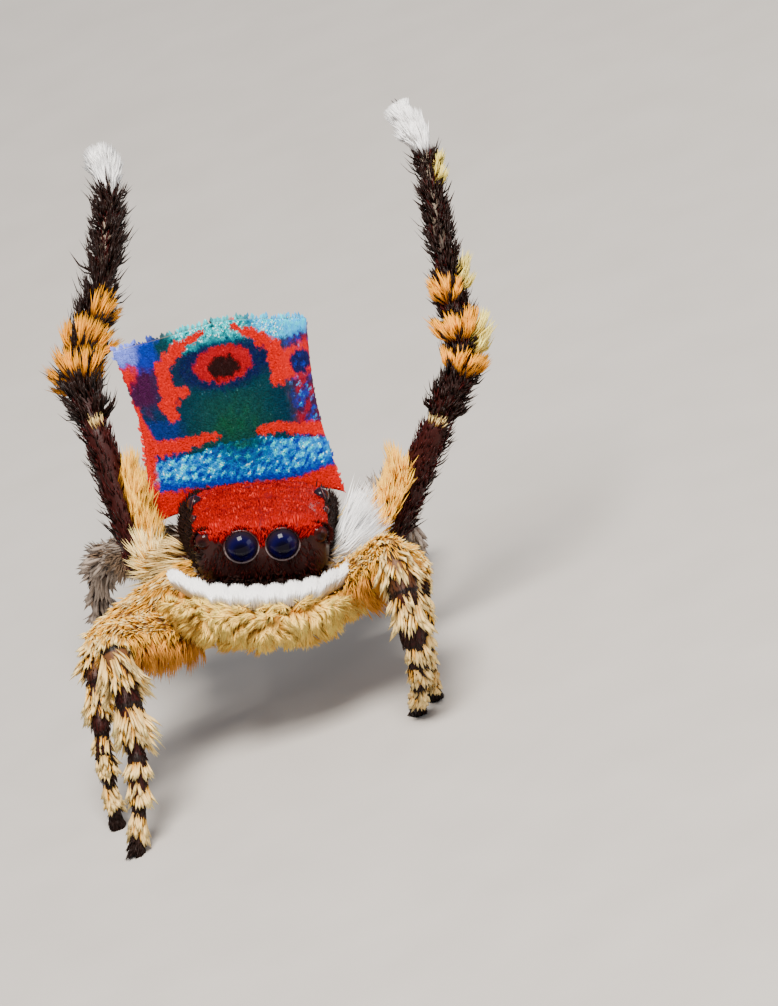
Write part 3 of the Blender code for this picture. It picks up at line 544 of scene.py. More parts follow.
def grow(
    axes: Axes | None,
    points: Array,
    normals: Array | Bone,
    flow: Array | Bone,
    patch: Array,
    draw: Random,
    length: float,
    width: float,
    lean: float,
    root_colour: Array | Colour,
    tip_colour: Array | Colour,
    sway: float = 0.18,
) -> Hairs:
    """Hairs on given places of a skin.

    Args:
        axes: The frame that the places are in, or none for the stand frame.
        points: Their roots on the skin.
        normals: The skin's outward normals there, or one for all.
        flow: The lie of the coat there, or one for all.
        patch: The roots' places on the skin's unwrap.
        draw: Random numbers.
        length: Their length.
        width: Their width.
        lean: How many degrees they stand off the skin.
        root_colour: Colour at each root, or one for all.
        tip_colour: Colour at each tip, or one for all.
        sway: How far tufts and hairs stray from the lie.

    Returns:
        The hairs.
    """
    count = len(points)
    normals, flow = (np.full((count, 3), ways) for ways in (normals, flow))
    if axes:
        points, normals, flow = axes.place(points), axes.turn(normals), axes.turn(flow)
    lie = unit(flow - normals * np.sum(flow * normals, axis=1, keepdims=True))
    rise = np.radians(lean + draw.normal(0, 6, count) + 7 * ripple(points, 0.10, 3))[:, None]
    drift = np.stack([ripple(points, 0.09, 40 + k) for k in range(3)], axis=1)
    drift = drift * sway + draw.normal(0, sway * 0.6, (count, 3))
    heading = unit(lie * np.cos(rise) + normals * np.sin(rise) + drift)
    bend = unit(mix(heading, lie, 0.45) + draw.normal(0, 0.08, (count, 3)))
    size = length * (1 + 0.16 * ripple(points, 0.12, 5)) * draw.uniform(0.75, 1.15, count)
    light = draw.uniform(0.82, 1.15, (count, 1))
    shape = np.ones((count, 3))
    return Hairs(
        points,
        heading,
        bend,
        size,
        width * draw.uniform(0.8, 1.25, count),
        shape * root_colour * light,
        shape * tip_colour * light,
        np.clip(patch, 2 * PATCH, 1 - 2 * PATCH),
    )


HAIR_FACES = (
    (0, 1, 2), (0, 2, 5), (0, 5, 3), (2, 1, 4), (2, 4, 5), (1, 0, 3), (1, 3, 4), (3, 5, 6), (5, 4, 6), (4, 3, 6)
)
HAIR_ACROSS = (1, -1, 0, 1, -1, 0, 0)
HAIR_ALONG = (-1, -1, -1, 0, 0, 0, 1)
SCALE_FACES = ((0, 2, 4), (2, 3, 4), (3, 1, 4), (1, 0, 4), (0, 1, 3), (0, 3, 2))
SCALE_ACROSS = (0, 1, -1, 0, 0)
SCALE_ALONG = (-1, 0, 0, 1, 0)


def tufted(name: str, hairs: Hairs) -> Piece:
    """Bent, tapering hairs as one mesh, each a closed three-sided blade.

    Args:
        name: The piece's name.
        hairs: The hairs.

    Returns:
        The piece, in millimetres.
    """
    draw = np.random.default_rng(SEED + len(hairs.root))
    count = len(hairs.root)
    across = unit(np.cross(hairs.heading, draw.normal(size=(count, 3))))
    face = np.cross(hairs.heading, across)
    half = hairs.width[:, None] / 2
    reach = hairs.length[:, None]
    low = hairs.root - hairs.heading * half * 2
    middle = hairs.root + hairs.heading * reach * 0.5
    tip = middle + hairs.bend * reach * 0.5
    ring = (across, -across, face * 0.8)
    rows = [low + way * half * 0.8 for way in ring] + [middle + way * half for way in ring] + [tip]
    centre = mix(hairs.root_colour, hairs.tip_colour, 0.6)
    colours = [hairs.root_colour] * 3 + [centre] * 3 + [hairs.tip_colour]
    return joined_mesh(name, rows, colours, hairs.patch, HAIR_FACES, HAIR_ACROSS, HAIR_ALONG, True)


def scaled(name: str, hairs: Hairs, normals: Array) -> Piece:
    """Small flat scales with a ridge as one mesh.

    Args:
        name: The piece's name.
        hairs: Where the scales are and which way they point.
        normals: The way each one faces.

    Returns:
        The piece, in millimetres.
    """
    across = unit(np.cross(normals, hairs.heading))
    above = unit(np.cross(hairs.heading, across))
    reach = hairs.length[:, None]
    half = hairs.width[:, None] / 2
    waist = hairs.root + hairs.heading * reach * 0.5
    tip = hairs.root + hairs.heading * reach
    rows = [hairs.root, waist + across * half, waist - across * half, tip, waist + above * half * 0.45]
    middle = mix(hairs.root_colour, hairs.tip_colour, 0.5)
    colours = [hairs.root_colour, middle, middle, hairs.tip_colour, middle]
    return joined_mesh(name, rows, colours, hairs.patch, SCALE_FACES, SCALE_ACROSS, SCALE_ALONG, False)


def joined_mesh(
    name: str,
    rows: list[Array],
    colours: list[Array],
    patch: Array,
    faces: tuple[tuple[int, int, int], ...],
    across: tuple[int, ...],
    along: tuple[int, ...],
    smooth: bool,
) -> Piece:
    """One mesh of many small forms alike, with their colours and their patches of the bake map.

    Args:
        name: The piece's name.
        rows: For each point of the form, its place in every copy.
        colours: For each point of the form, its colour in every copy.
        patch: Each copy's place on the skin's unwrap.
        faces: The form's triangles.
        across: Where each point lies across its patch, from -1 to 1.
        along: Where each point lies along its patch.
        smooth: Whether the faces are shaded smooth.

    Returns:
        The piece, in millimetres.
    """
    count = len(patch)
    size = len(rows)
    points = np.stack(rows, axis=1).reshape(-1, 3)
    tint = np.stack(colours, axis=1).reshape(-1, 3)
    offsets = beside(across, along) * PATCH
    spread = (patch[:, None, :] + offsets[None, :, :]).reshape(-1, 2)
    corners = (np.array(faces)[None] + np.arange(count)[:, None, None] * size).reshape(-1)
    mesh = bpy.data.meshes.new(name)
    mesh.vertices.add(len(points))
    mesh.vertices.foreach_set("co", points.astype(np.float32).ravel())
    mesh.loops.add(len(corners))
    mesh.loops.foreach_set("vertex_index", corners.astype(np.int32))
    mesh.polygons.add(len(corners) // 3)
    mesh.polygons.foreach_set("loop_start", np.arange(0, len(corners), 3, dtype=np.int32))
    mesh.update(calc_edges=True)
    mesh.polygons.foreach_set("use_smooth", np.full(len(corners) // 3, smooth))
    bake = mesh.uv_layers.new(name=BAKE_MAP)
    bake.uv.foreach_set("vector", spread[corners].astype(np.float32).ravel())
    piece = bpy.data.objects.new(name, mesh)
    bpy.context.scene.collection.objects.link(piece)
    mark(piece, tint)
    return piece


def scattered(
    surface: Form,
    low: Pair,
    high: Pair,
    count: int,
    draw: Random,
    weight: Form | None = None,
) -> tuple[Array, Array, Array, Array]:
    """Places spread evenly over a surface.

    Args:
        surface: Gives the place for two numbers.
        low: Their least values.
        high: Their greatest values.
        count: How many places.
        draw: Random numbers.
        weight: How densely they stand, for the two numbers.

    Returns:
        The two numbers of each place, the places, and normals of the surface, on either of its sides.
    """
    u = draw.uniform(low[0], high[0], count * 5)
    v = draw.uniform(low[1], high[1], count * 5)
    tiny = 1e-3
    here = surface(u, v)
    normal = np.cross(surface(u + tiny, v) - here, surface(u, v + tiny) - here)
    chance = np.linalg.norm(normal, axis=1)
    if weight is not None:
        chance = chance * weight(u, v)
    usable = int(np.count_nonzero(chance))
    pick = draw.choice(len(u), min(count, usable), replace=False, p=chance / chance.sum())
    return u[pick], v[pick], here[pick], unit(normal[pick])


# Trunk: head, abdomen and fan.


@dataclass
class Head:
    """The head and thorax: where it stands, and how wide and tall it is from the face back."""

    eye_height: float = 2.10
    lean_deg: float = 15.5
    nod_deg: float = 5.0
    turn_deg: float = -4.0
    length: float = 2.05
    # Back, half width, top, bottom, squareness.
    stations: Table = (
        (0.00, 0.50, 0.14, -0.34, 3.2),
        (0.04, 0.64, 0.20, -0.42, 3.6),
        (0.16, 0.70, 0.24, -0.50, 3.6),
        (0.50, 0.73, 0.25, -0.60, 3.4),
        (0.92, 0.76, 0.23, -0.66, 3.2),
        (1.20, 0.79, 0.17, -0.68, 2.8),
        (1.50, 0.75, 0.02, -0.68, 2.5),
        (1.76, 0.59, -0.18, -0.66, 2.3),
        (1.95, 0.36, -0.36, -0.62, 2.1),
        (2.05, 0.20, -0.42, -0.58, 2.0),
    )
    # The red crown: how far down the face and the sides it reaches, and where it ends behind.
    crown_front: float = 0.035
    crown_side: float = 0.69
    crown_narrows: float = 0.04
    crown_dip: float = 0.08
    crown_back: float = 1.44
    face_skin: Colour = (0.024, 0.007, 0.006)
    flank_skin: Colour = (0.030, 0.018, 0.014)
    crown_skin: Colour = (0.14, 0.001, 0.002)

    def __post_init__(self) -> None:
        """Works out the head's frame."""
        place = Matrix.Translation((0, 0, self.eye_height))
        lean, nod, turn = turning(self.lean_deg, "Y"), turning(self.nod_deg, "X"), turning(self.turn_deg, "Z")
        self.axes = Axes(place @ lean @ nod @ turn)

    def outline(self, back: Array, turn: Array) -> Array:
        """Places on the head's surface.

        Args:
            back: How far behind the face.
            turn: The turn from the left side over the top.

        Returns:
            Places in the head's own frame.
        """
        width, top, bottom, square = smooth_table(self.stations, back, 0.05)
        across = np.sign(np.cos(turn)) * np.abs(np.cos(turn)) ** (2 / square)
        up = np.sign(np.sin(turn)) * np.abs(np.sin(turn)) ** (2 / square)
        return beside(width * across, back, (top + bottom) / 2 + (top - bottom) / 2 * up)

    def closed_form(self, share: Array, turn: Array) -> Array:
        """Places of the whole closed head, from the middle of its face to its waist.

        Args:
            share: From 0 at the face to 1 at the waist.
            turn: The turn round the head.

        Returns:
            Places in the stand frame.
        """
        cap = 0.08
        back = np.clip((share - cap) / (1 - 2 * cap), 0, 1) * self.length
        points = self.outline(back, turn)
        shrink = np.minimum(1, np.minimum(share, 1 - share) / cap) ** 0.55
        _, top, bottom, _ = smooth_table(self.stations, back, 0.05)
        middle = (top + bottom) / 2
        points[:, 0] *= shrink
        points[:, 2] = middle + (points[:, 2] - middle) * shrink
        points[:, 1] += (1 - shrink) * np.where(share < 0.5, -0.03, 0.03)
        return self.axes.place(points)

    def depth(self, points: Array) -> Array:
        """About how far places of the stand frame lie outside the head.

        Args:
            points: Places of the stand frame.

        Returns:
            A distance for each, less than 0 inside.
        """
        own = self.axes.local(points)
        width, top, bottom, square = smooth_table(self.stations, np.clip(own[:, 1], 0, self.length), 0.05)
        half = (top - bottom) / 2
        rise = np.abs(own[:, 2] - (top + bottom) / 2) / half
        level = (np.abs(own[:, 0] / width) ** square + rise**square) ** (1 / square)
        past = np.maximum(0, np.maximum(-own[:, 1], own[:, 1] - self.length))
        return (level - 1) * np.minimum(width, half) + past

    def marking(self, own: Array) -> Array:
        """The skin's and the coat's colours on the head.

        Args:
            own: Places in the head's own frame.

        Returns:
            A colour for each place.
        """
        red = self.crown_share(own, 0.03 * ripple(own, 0.15, 21))
        flank = mix(Tone.DUSK.tip, self.flank_skin, step(0.0, 0.5, own[:, 1]))
        colours = mix(self.face_skin, flank, step(0.02, 0.25, own[:, 1]))
        return mix(colours, self.crown_skin, red)

    def crown_share(self, own: Array, wander: Array | float = 0.0) -> Array:
        """How far each place of the head belongs to the red crown.

        Args:
            own: Places in the head's own frame.
            wander: How far its edge strays there.

        Returns:
            1 on the crown, 0 off it.
        """
        front = self.crown_front - self.crown_dip * np.exp(-((own[:, 0] / 0.09) ** 2))
        above = step(front, front + 0.04, own[:, 2] + wander)
        side = self.crown_side - self.crown_narrows * step(0.25, 1.0, own[:, 1])
        inside = 1 - step(side, side + 0.05, np.abs(own[:, 0]) + wander)
        before = 1 - step(self.crown_back, self.crown_back + 0.15, own[:, 1] + wander)
        return above * inside * before


@dataclass
class Fan:
    """The raised abdomen, with the fan on its upper face, in a frame of its own behind the head."""

    head: Head
    aside: float = -0.12
    back: float = 1.66
    rise: float = -0.36
    lean_deg: float = -4.7
    tilt_deg: float = 6.0
    turn_deg: float = 9.0
    height: float = 2.16
    shoulder: float = 1.95
    # Half width at the bottom, between, and at the top, on each side.
    halves: dict[Side, tuple[float, float, float]] = field(
        default_factory=lambda: {Side.LEFT: (1.09, 0.95, 1.03), Side.RIGHT: (1.07, 0.98, 1.16)}
    )
    # Across and up along the upper edge.
    crest: Line = ((-1.16, 2.02), (-0.50, 2.10), (0.04, 2.16), (0.50, 2.09), (1.03, 1.94))
    notch: float = 0.16
    flap_root: float = 0.58
    folds_deg: tuple[Pair, Pair] = ((36.0, 6.0), (6.0, 6.0))
    thickness: float = 0.075
    bag_half_width: float = 0.60
    bag_depth: float = 0.92
    bag_low: float = 0.42
    bag_high: float = 2.02
    # Height, width and depth of the abdomen's bag as shares of its size.
    bag_stations: Table = (
        (0.00, 0.30, 0.30),
        (0.05, 0.52, 0.50),
        (0.16, 0.78, 0.74),
        (0.34, 0.96, 0.94),
        (0.58, 1.00, 1.00),
        (0.80, 0.86, 0.84),
        (0.94, 0.66, 0.56),
        (1.00, 0.44, 0.24),
    )
    spinneret_back: float = 0.87
    spinneret_up: float = 1.68
    spinneret_length: float = 0.22
    spinneret_radius: float = 0.07
    # Across and up from the middle of the cluster, and size.
    spinnerets: tuple[Bone, ...] = (
        (0, 0, 0.7), (0.06, 0.05, 1), (-0.06, 0.05, 1), (0.05, -0.06, 0.8), (-0.05, -0.06, 0.8)
    )

    def __post_init__(self) -> None:
        """Works out the fan's frame."""
        place = Matrix.Translation((self.aside, self.back, self.rise))
        lean, tilt = turning(self.lean_deg, "Y"), turning(-self.tilt_deg, "X")
        self.axes = Axes(self.head.axes.matrix @ place @ lean @ tilt @ turning(self.turn_deg, "Z"))

    def edge(self, up: Array, across: Array) -> Array:
        """Half width of the fan at a height, on the side that a place across it is on.

        Args:
            up: How far up.
            across: How far across, of which only the side counts.

        Returns:
            The half width: wide at the fan's corners and drawn in between them.
        """
        share = np.clip(up / self.shoulder, 0, 1)
        left, right = (np.array(self.halves[side]) for side in (Side.LEFT, Side.RIGHT))
        low, waist, high = np.where(across[None] > 0, left[:, None], right[:, None])
        return low * (1 - share) + high * share - ((low + high) / 2 - waist) * np.sin(math.pi * share)

    def top(self, across: Array) -> Array:
        """Height of the fan's upper edge, rounded along its crest."""
        return smooth_table(self.crest, across, 0.12)[0]

    def bottom(self, across: Array) -> Array:
        """Height of the fan's lower edge, a little higher behind the head."""
        share = np.clip(np.abs(across) / self.halves[Side.LEFT][0], 0, 1)
        return self.notch * (1 - share**4)

    def folded(self, across: Array, up: Array, lift: float) -> Array:
        """Places of the fan, with its flaps folded back.

        Args:
            across: Across it, to the animal's left.
            up: Up it.
            lift: In front of its middle surface.

        Returns:
            Places in the fan's own frame.
        """
        fold = self._fold(across, up)
        past = np.maximum(0, np.abs(across) - self.flap_root)
        inner = np.minimum(np.abs(across), self.flap_root)
        x = np.sign(across) * (inner + past * np.cos(fold))
        return beside(x, past * np.sin(fold) - lift, up)

    def sheet(self, x: Array, y: Array, lift: float = 0.0) -> tuple[Array, Array, Array]:
        """The fan for two numbers from -1 to 1, across it and up it.

        Args:
            x: Share across.
            y: Share up, from -1 at the lower edge.
            lift: In front of its middle surface.

        Returns:
            How far across and up, and places in the fan's own frame.
        """
        share = (y + 1) / 2
        across = x * self.edge(share * self.shoulder, x)
        up = self.bottom(across) + (self.top(across) - self.bottom(across)) * share
        return across, up, self.folded(across, up, lift)

    def bag(self, share: Array, turn: Array) -> Array:
        """Places of the abdomen's bag.

        Args:
            share: Height as a share.
            turn: The turn from the left side to the back.

        Returns:
            Places in the fan's own frame.
        """
        width, depth = smooth_table(self.bag_stations, share, 0.04)
        deep = self.bag_depth * depth / 2
        up = self.bag_low + (self.bag_high - self.bag_low) * share
        return beside(self.bag_half_width * width * np.cos(turn), deep * (1 + np.sin(turn)), up)

    def closed_bag(self, share: Array, turn: Array) -> Array:
        """The whole closed bag in the stand frame, for a share from pole to pole and a turn.

        Args:
            share: From 0 at the top to 1 at the bottom.
            turn: The turn round it.

        Returns:
            Places in the stand frame.
        """
        points = self.bag(1 - share, turn)
        shrink = np.minimum(1, np.minimum(share, 1 - share) / 0.06) ** 0.6
        points[:, 0] *= shrink
        return self.axes.place(points)

    def depth(self, points: Array) -> Array:
        """About how far places of the stand frame lie outside the fan and the bag.

        Args:
            points: Places of the stand frame.

        Returns:
            A distance for each, less than 0 inside.
        """
        own = self.axes.local(points)
        share = (own[:, 2] - self.bag_low) / (self.bag_high - self.bag_low)
        width, deep = smooth_table(self.bag_stations, np.clip(share, 0, 1), 0.04)
        half = self.bag_depth * deep / 2
        level = np.hypot(own[:, 0] / (self.bag_half_width * width), (own[:, 1] - half) / half)
        bag = (level - 1) * np.minimum(half, self.bag_half_width * width)
        bag += np.maximum(0, np.maximum(-share, share - 1))
        across, up = self.unfolded(own)
        past = np.maximum(0, np.abs(across) - self.edge(up, across))
        past += np.maximum(0, up - self.top(across)) + np.maximum(0, self.bottom(across) - up)
        flat = self.folded(across, up, 0.0)
        plate = np.linalg.norm(own - flat, axis=1) - self.thickness / 2 + past
        return np.minimum(bag, plate)

    def unfolded(self, own: Array) -> tuple[Array, Array]:
        """How far across and up the fan places of its frame lie, with its flaps laid flat.

        Args:
            own: Places in the fan's own frame.

        Returns:
            How far across and up the flat fan.
        """
        x, y, up = own.T
        fold = self._fold(x, up)
        inner = np.abs(x)
        past = (inner - self.flap_root) * np.cos(fold) + y * np.sin(fold)
        return np.sign(x) * np.where(inner > self.flap_root, self.flap_root + past, inner), up

    def _fold(self, across: Array, up: Array) -> Array:
        """How far the flap on each place's side is folded back at its height, in radians."""
        left, right = np.radians(np.array(self.folds_deg))[:, :, None]
        high, low = np.where(across > 0, left, right)
        return low + (high - low) * np.clip(up / self.height, 0, 1)


class Paint:
    """Colours laid over one another on the fan, with the ragged places and the noise that they read."""

    def __init__(self, across: Array, up: Array, ground: Colour, ragged: float = 0.018) -> None:
        """Covers places across and up the fan with the ground colour.

        Args:
            across: How far across the fan.
            up: How far up it.
            ground: The colour under all others.
            ragged: How far edges stray.
        """
        flat = beside(across, up)
        s = across + ragged * ripple(flat, 0.05, 31)
        t = up + ragged * ripple(flat, 0.05, 32)
        self.place = beside(s, t)
        self.terms = (s, t, ripple(flat, 0.035, 33), ripple(flat, 0.11, 34))
        self.shade = np.tile(ground, (len(across), 1))

    def lay(self, colour: Colour, share: Array) -> None:
        """Lays a colour over what is there by a share."""
        self.shade = mix(self.shade, colour, share)


@dataclass
class FanPattern:
    """The markings of the fan, in distances across it, to the animal's left, and up it.

    Each method lays its markings over the paint so far. It reads the places across (s) and up (t), the
    fine noise (fleck) and the coarse noise (patch).
    """

    red: Colour = (0.36, 0.001, 0.007)
    scarlet: Colour = (0.56, 0.003, 0.001)
    teal: Colour = (0.001, 0.036, 0.050)
    green: Colour = (0.003, 0.065, 0.026)
    cyan: Colour = (0.004, 0.38, 0.82)
    ice: Colour = (0.008, 0.72, 0.80)
    lilac: Colour = (0.16, 0.22, 0.80)
    blue: Colour = (0.002, 0.022, 0.34)
    navy: Colour = (0.002, 0.003, 0.055)
    petrol: Colour = (0.001, 0.018, 0.070)
    plum: Colour = (0.050, 0.0005, 0.032)
    soot: Colour = (0.014, 0.002, 0.002)
    spot: Pair = (-0.02, 1.68)
    halo_size: Pair = (0.54, 0.30)
    spot_size: Pair = (0.325, 0.205)
    pupil_size: Pair = (0.180, 0.140)
    pupil_drop: float = 0.036
    side_spot: Pair = (0.83, 1.52)
    side_spot_size: Pair = (0.135, 0.135)
    # The red arcs, and whether each thins out at its start.
    arcs: tuple[tuple[Line, bool], ...] = (
        (((-0.20, 2.06), (-0.50, 1.94), (-0.67, 1.76), (-0.65, 1.50), (-0.62, 1.36)), True),
        (((-0.66, 1.48), (-0.48, 1.44)), False),
        (((-0.70, 1.34), (-0.62, 1.20)), False),
        (((0.12, 2.08), (0.36, 1.94), (0.54, 1.76), (0.55, 1.55), (0.54, 1.40)), True),
    )
    arc_half: float = 0.075
    # The red bars, and half their height at either end.
    bars: tuple[tuple[Line, Pair], ...] = (
        (((-1.10, 0.86), (-0.80, 0.865), (-0.45, 0.885), (-0.18, 0.90)), (0.125, 0.035)),
        (((0.27, 0.865), (0.46, 0.875), (0.70, 0.81), (1.08, 0.71)), (0.05, 0.075)),
    )
    # Across and up along the upper and the lower edge of the bright band.
    band_top: Line = ((-0.98, 0.72), (-0.42, 0.745), (-0.14, 0.80), (0.28, 0.79), (0.60, 0.72), (1.0, 0.62))
    band_low: Line = ((-0.98, 0.42), (-0.58, 0.38), (-0.04, 0.34), (0.45, 0.30), (0.80, 0.30), (1.0, 0.34))
    # Up and across along the red edge of the right flap, from below.
    left_edge: Line = ((0.0, 0.9), (0.5, 0.9), (1.0, 0.86), (1.4, 1.0), (1.9, 1.1))

    def colours(self, across: Array, up: Array) -> Array:
        """The fan's colour at places of it.

        Args:
            across: How far across.
            up: How far up.

        Returns:
            A colour for each place.
        """
        paint = Paint(across, up, self.teal)
        for marking in (self._field, self._top, self._eye_spot, self._arcs, self._band, self._bars):
            marking(paint)
        return paint.shade

    def _field(self, paint: Paint) -> None:
        """The green middle, and the plum and blue flanks beside it.

        Args:
            paint: The paint so far, which gets the markings.
        """
        s, t, fleck, patch = paint.terms
        paint.lay(self.green, np.exp(-((s / 0.32) ** 2) - ((t - 1.0) / 0.30) ** 2) * (0.7 + 0.2 * patch))
        paint.lay(self.navy, step(0.30, 0.70, np.abs(s)) * 0.45)
        left = step(-0.66, -0.84, s)
        paint.lay(self.petrol, left * (0.9 + 0.1 * fleck))
        paint.lay(self.plum, left * np.maximum(step(1.28, 1.42, t) * 0.85, step(0.3, 1.0, patch) * 0.6))
        paint.lay(self.blue, step(-0.5, -0.62, s) * step(1.22, 1.14, t) * 0.28)
        right = step(0.60, 0.76, s)
        paint.lay(self.plum, right * 0.8)
        paint.lay(self.red, right * step(0.2, 0.9, patch) * 0.6)
        paint.lay(self.blue, right * step(0.1, 0.8, fleck - patch) * 0.8)
        paint.lay(self.cyan, right * step(0.9, 1.3, fleck) * 0.7)

    def _top(self, paint: Paint) -> None:
        """The bright upper rim: ice in the middle, light blue to the right, deep blue in the left corner.

        Args:
            paint: The paint so far, which gets the markings.
        """
        s, t, fleck, patch = paint.terms
        rim = step(1.84, 1.96, t)
        paint.lay(self.teal, rim)
        paint.lay(self.ice, rim * step(-0.62, -0.40, s) * step(0.40, 0.15, s) * (0.62 + 0.3 * fleck))
        right = step(0.25, 0.45, s)
        paint.lay(self.cyan, step(1.80, 1.88, t) * right)
        paint.lay(self.ice, step(1.84, 1.94, t) * right * step(-0.4, 0.9, fleck) * 0.7)
        paint.lay(self.blue, step(1.02, 1.10, s) * step(1.7, 1.8, t))
        paint.lay(self.blue, step(1.70, 1.80, t) * step(-0.66, -0.74, s) * (0.85 + 0.1 * patch))
        paint.lay(self.lilac, step(1.80, 1.90, t) * step(-0.86, -1.0, s))
        paint.lay(self.scarlet, step(-0.92, -1.0, s) * step(1.86, 1.80, t) * step(1.60, 1.68, t))

    def _eye_spot(self, paint: Paint) -> None:
        """The false eye: a black middle in a red ring, in a navy halo.

        Args:
            paint: The paint so far, which gets the markings.
        """
        from_spot = paint.place - np.array(self.spot)
        halo = np.hypot(*(from_spot / self.halo_size).T)
        paint.lay(self.navy, step(1.15, 0.75, halo) * 0.9)
        paint.lay(self.teal, step(1.15, 0.8, halo) * step(0.4, 1.2, paint.terms[2]) * 0.35)
        ring = np.hypot(*(from_spot / self.spot_size).T)
        paint.lay(self.red, step(1.04, 0.94, ring))
        pupil = np.hypot(*((from_spot - (0.0, -self.pupil_drop)) / self.pupil_size).T)
        paint.lay(self.soot, step(1.15, 0.78, pupil))

    def _arcs(self, paint: Paint) -> None:
        """The red arcs on either side of the false eye, and the small blue spot in its red box.

        Args:
            paint: The paint so far, which gets the markings.
        """
        s, t, fleck, _ = paint.terms
        for line, thin in self.arcs:
            away, share = along_line(paint.place, np.array(line))
            half = self.arc_half * (0.35 + 0.65 * step(0, 0.3, share) if thin else 0.8)
            paint.lay(self.scarlet, step(1.12, 0.88, away / half))
        paint.lay(self.scarlet, step(0.50, 0.56, s) * step(1.35, 1.40, t) * step(1.74, 1.68, t))
        side = np.hypot(*((paint.place - np.array(self.side_spot)) / self.side_spot_size).T)
        paint.lay(self.navy, step(1.12, 0.88, side))
        paint.lay(self.blue, step(0.8, 0.4, side) * step(0.3, 1.0, fleck))

    def _band(self, paint: Paint) -> None:
        """The bright glittering band, teal where the green comes down to it, with red under it.

        Args:
            paint: The paint so far, which gets the markings.
        """
        s, t, fleck, patch = paint.terms
        top, low = (np.interp(s, *np.array(edge).T) for edge in (self.band_top, self.band_low))
        rise = t - low
        paint.lay(self.scarlet, step(0.0, -0.03, rise))
        band = step(0.02, -0.02, t - top) * step(-0.02, 0.02, rise)
        paint.lay(self.blue, band)
        isthmus = np.exp(-(((s - 0.06) / 0.28) ** 2)) * step(0.36, 0.66, t)
        glint = np.clip(0.58 + 0.5 * fleck + 0.3 * patch, 0, 1) * step(0.03, 0.11, rise)
        paint.lay(self.cyan, band * glint * (1 - isthmus * 0.7))
        paint.lay(self.ice, band * step(0.4, 1.2, fleck + 0.4 * patch) * step(0.05, 0.12, rise) * 0.85)
        paint.lay(self.teal, band * isthmus * 0.55)
        paint.lay(self.green, band * isthmus * step(0.66, 0.76, t) * 0.8)

    def _bars(self, paint: Paint) -> None:
        """The red bars over the band, and the red edges of the flaps.

        Args:
            paint: The paint so far, which gets the markings.
        """
        s, t, _, _ = paint.terms
        for line, (start, end) in self.bars:
            away, share = along_line(paint.place, np.array(line))
            paint.lay(self.scarlet, step(1.1, 0.88, away / (start + (end - start) * share)))
        past_edge = -s - np.interp(t, *np.array(self.left_edge).T)
        paint.lay(self.scarlet, step(-0.02, 0.02, past_edge) * step(1.75, 1.65, t))
        paint.lay(self.red, step(0.95, 0.99, s) * step(1.80, 1.74, t) * step(1.30, 1.38, t))


# Limbs.


@dataclass
class Limb:
    """A leg or a palp: joints, the radius at each, and how far each segment swells between them."""

    name: str
    joints: Array
    radii: tuple[float, ...]
    swelling: tuple[float, ...]
    references: tuple[Bone, ...]
    outward: Bone
    side: Side
    rounding: float = 0.26
    pinch: float = 0.16
    samples: int = 181
    table: dict[str, Array] = field(default_factory=dict)

    def __post_init__(self) -> None:
        """Reads the limb at many places once."""
        joints = np.array(self.joints, dtype=float)
        self.stops = np.concatenate([[0], np.cumsum(np.linalg.norm(np.diff(joints, axis=0), axis=1))])
        s = np.linspace(0, self.length, self.samples)
        reach = np.minimum(self.rounding, np.minimum(s, self.length - s))
        centre = np.zeros((len(s), 3))
        half = 10
        for k in range(-half, half + 1):
            at = s + reach * k / half
            centre += between(at, self.stops, joints) * (half + 1 - abs(k)) / (half + 1) ** 2
        along = unit(np.gradient(centre, axis=0))
        self.table = {"s": s, "centre": centre, "along": along, "radius": self._radius(s)}

    @property
    def length(self) -> float:
        """Length along the joints."""
        return float(self.stops[-1])

    def _radius(self, s: Array) -> Array:
        """Radius along the limb, drawn in at each joint.

        Args:
            s: Lengths along it.

        Returns:
            The radius at each.
        """
        count = len(self.stops) - 1
        q = self.joint_place(s)
        i = np.minimum(q.astype(int), count - 1)
        share = q - i
        plain = np.interp(s, self.stops, self.radii)
        swell = 1 + (np.array(self.swelling)[i] - 1) * np.sin(math.pi * np.clip(share, 0, 1)) ** 0.7
        radius = plain * swell
        for stop in self.stops[1:-1]:
            radius = radius * (1 - self.pinch * np.exp(-(((s - stop) / 0.045) ** 2)))
        return radius

    def joint_place(self, s: Array) -> Array:
        """Lengths along the limb as joint numbers with fractions."""
        return np.interp(s, self.stops, np.arange(len(self.stops)))

    def length_at(self, q: Array) -> Array:
        """Joint numbers with fractions as lengths along the limb."""
        return np.interp(q, np.arange(len(self.stops)), self.stops)

    def read(self, s: Array) -> tuple[Array, Array, Array]:
        """Centre, direction and radius of the limb at lengths along it."""
        t = self.table
        centre, along = (between(s, t["s"], t[name]) for name in ("centre", "along"))
        return centre, unit(along), np.interp(s, t["s"], t["radius"])

    def around(self, s: Array, turn: Array) -> tuple[Array, Array, Array, Array]:
        """Places round the limb.

        Args:
            s: Lengths along it.
            turn: Turns from its upper or front side towards its outer side.

        Returns:
            Centre, direction, outward normal and radius.
        """
        centre, along, radius = self.read(s)
        segment = np.minimum(self.joint_place(s).astype(int), len(self.references) - 1)
        reference = np.array(self.references)[segment]
        front = unit(reference - along * np.sum(reference * along, axis=1, keepdims=True))
        side = np.cross(along, front)
        side = side * np.where(side @ np.array(self.outward) < 0, -1, 1)[:, None]
        out = front * np.cos(turn)[:, None] + side * np.sin(turn)[:, None]
        return centre, along, out, radius

    def body(self, slim: float) -> Piece:
        """The limb's flesh as a closed tube, slimmer than the solid by the coat's depth."""
        t = self.table
        return tube(f"{self.name}_flesh", t["centre"], t["radius"] * slim)


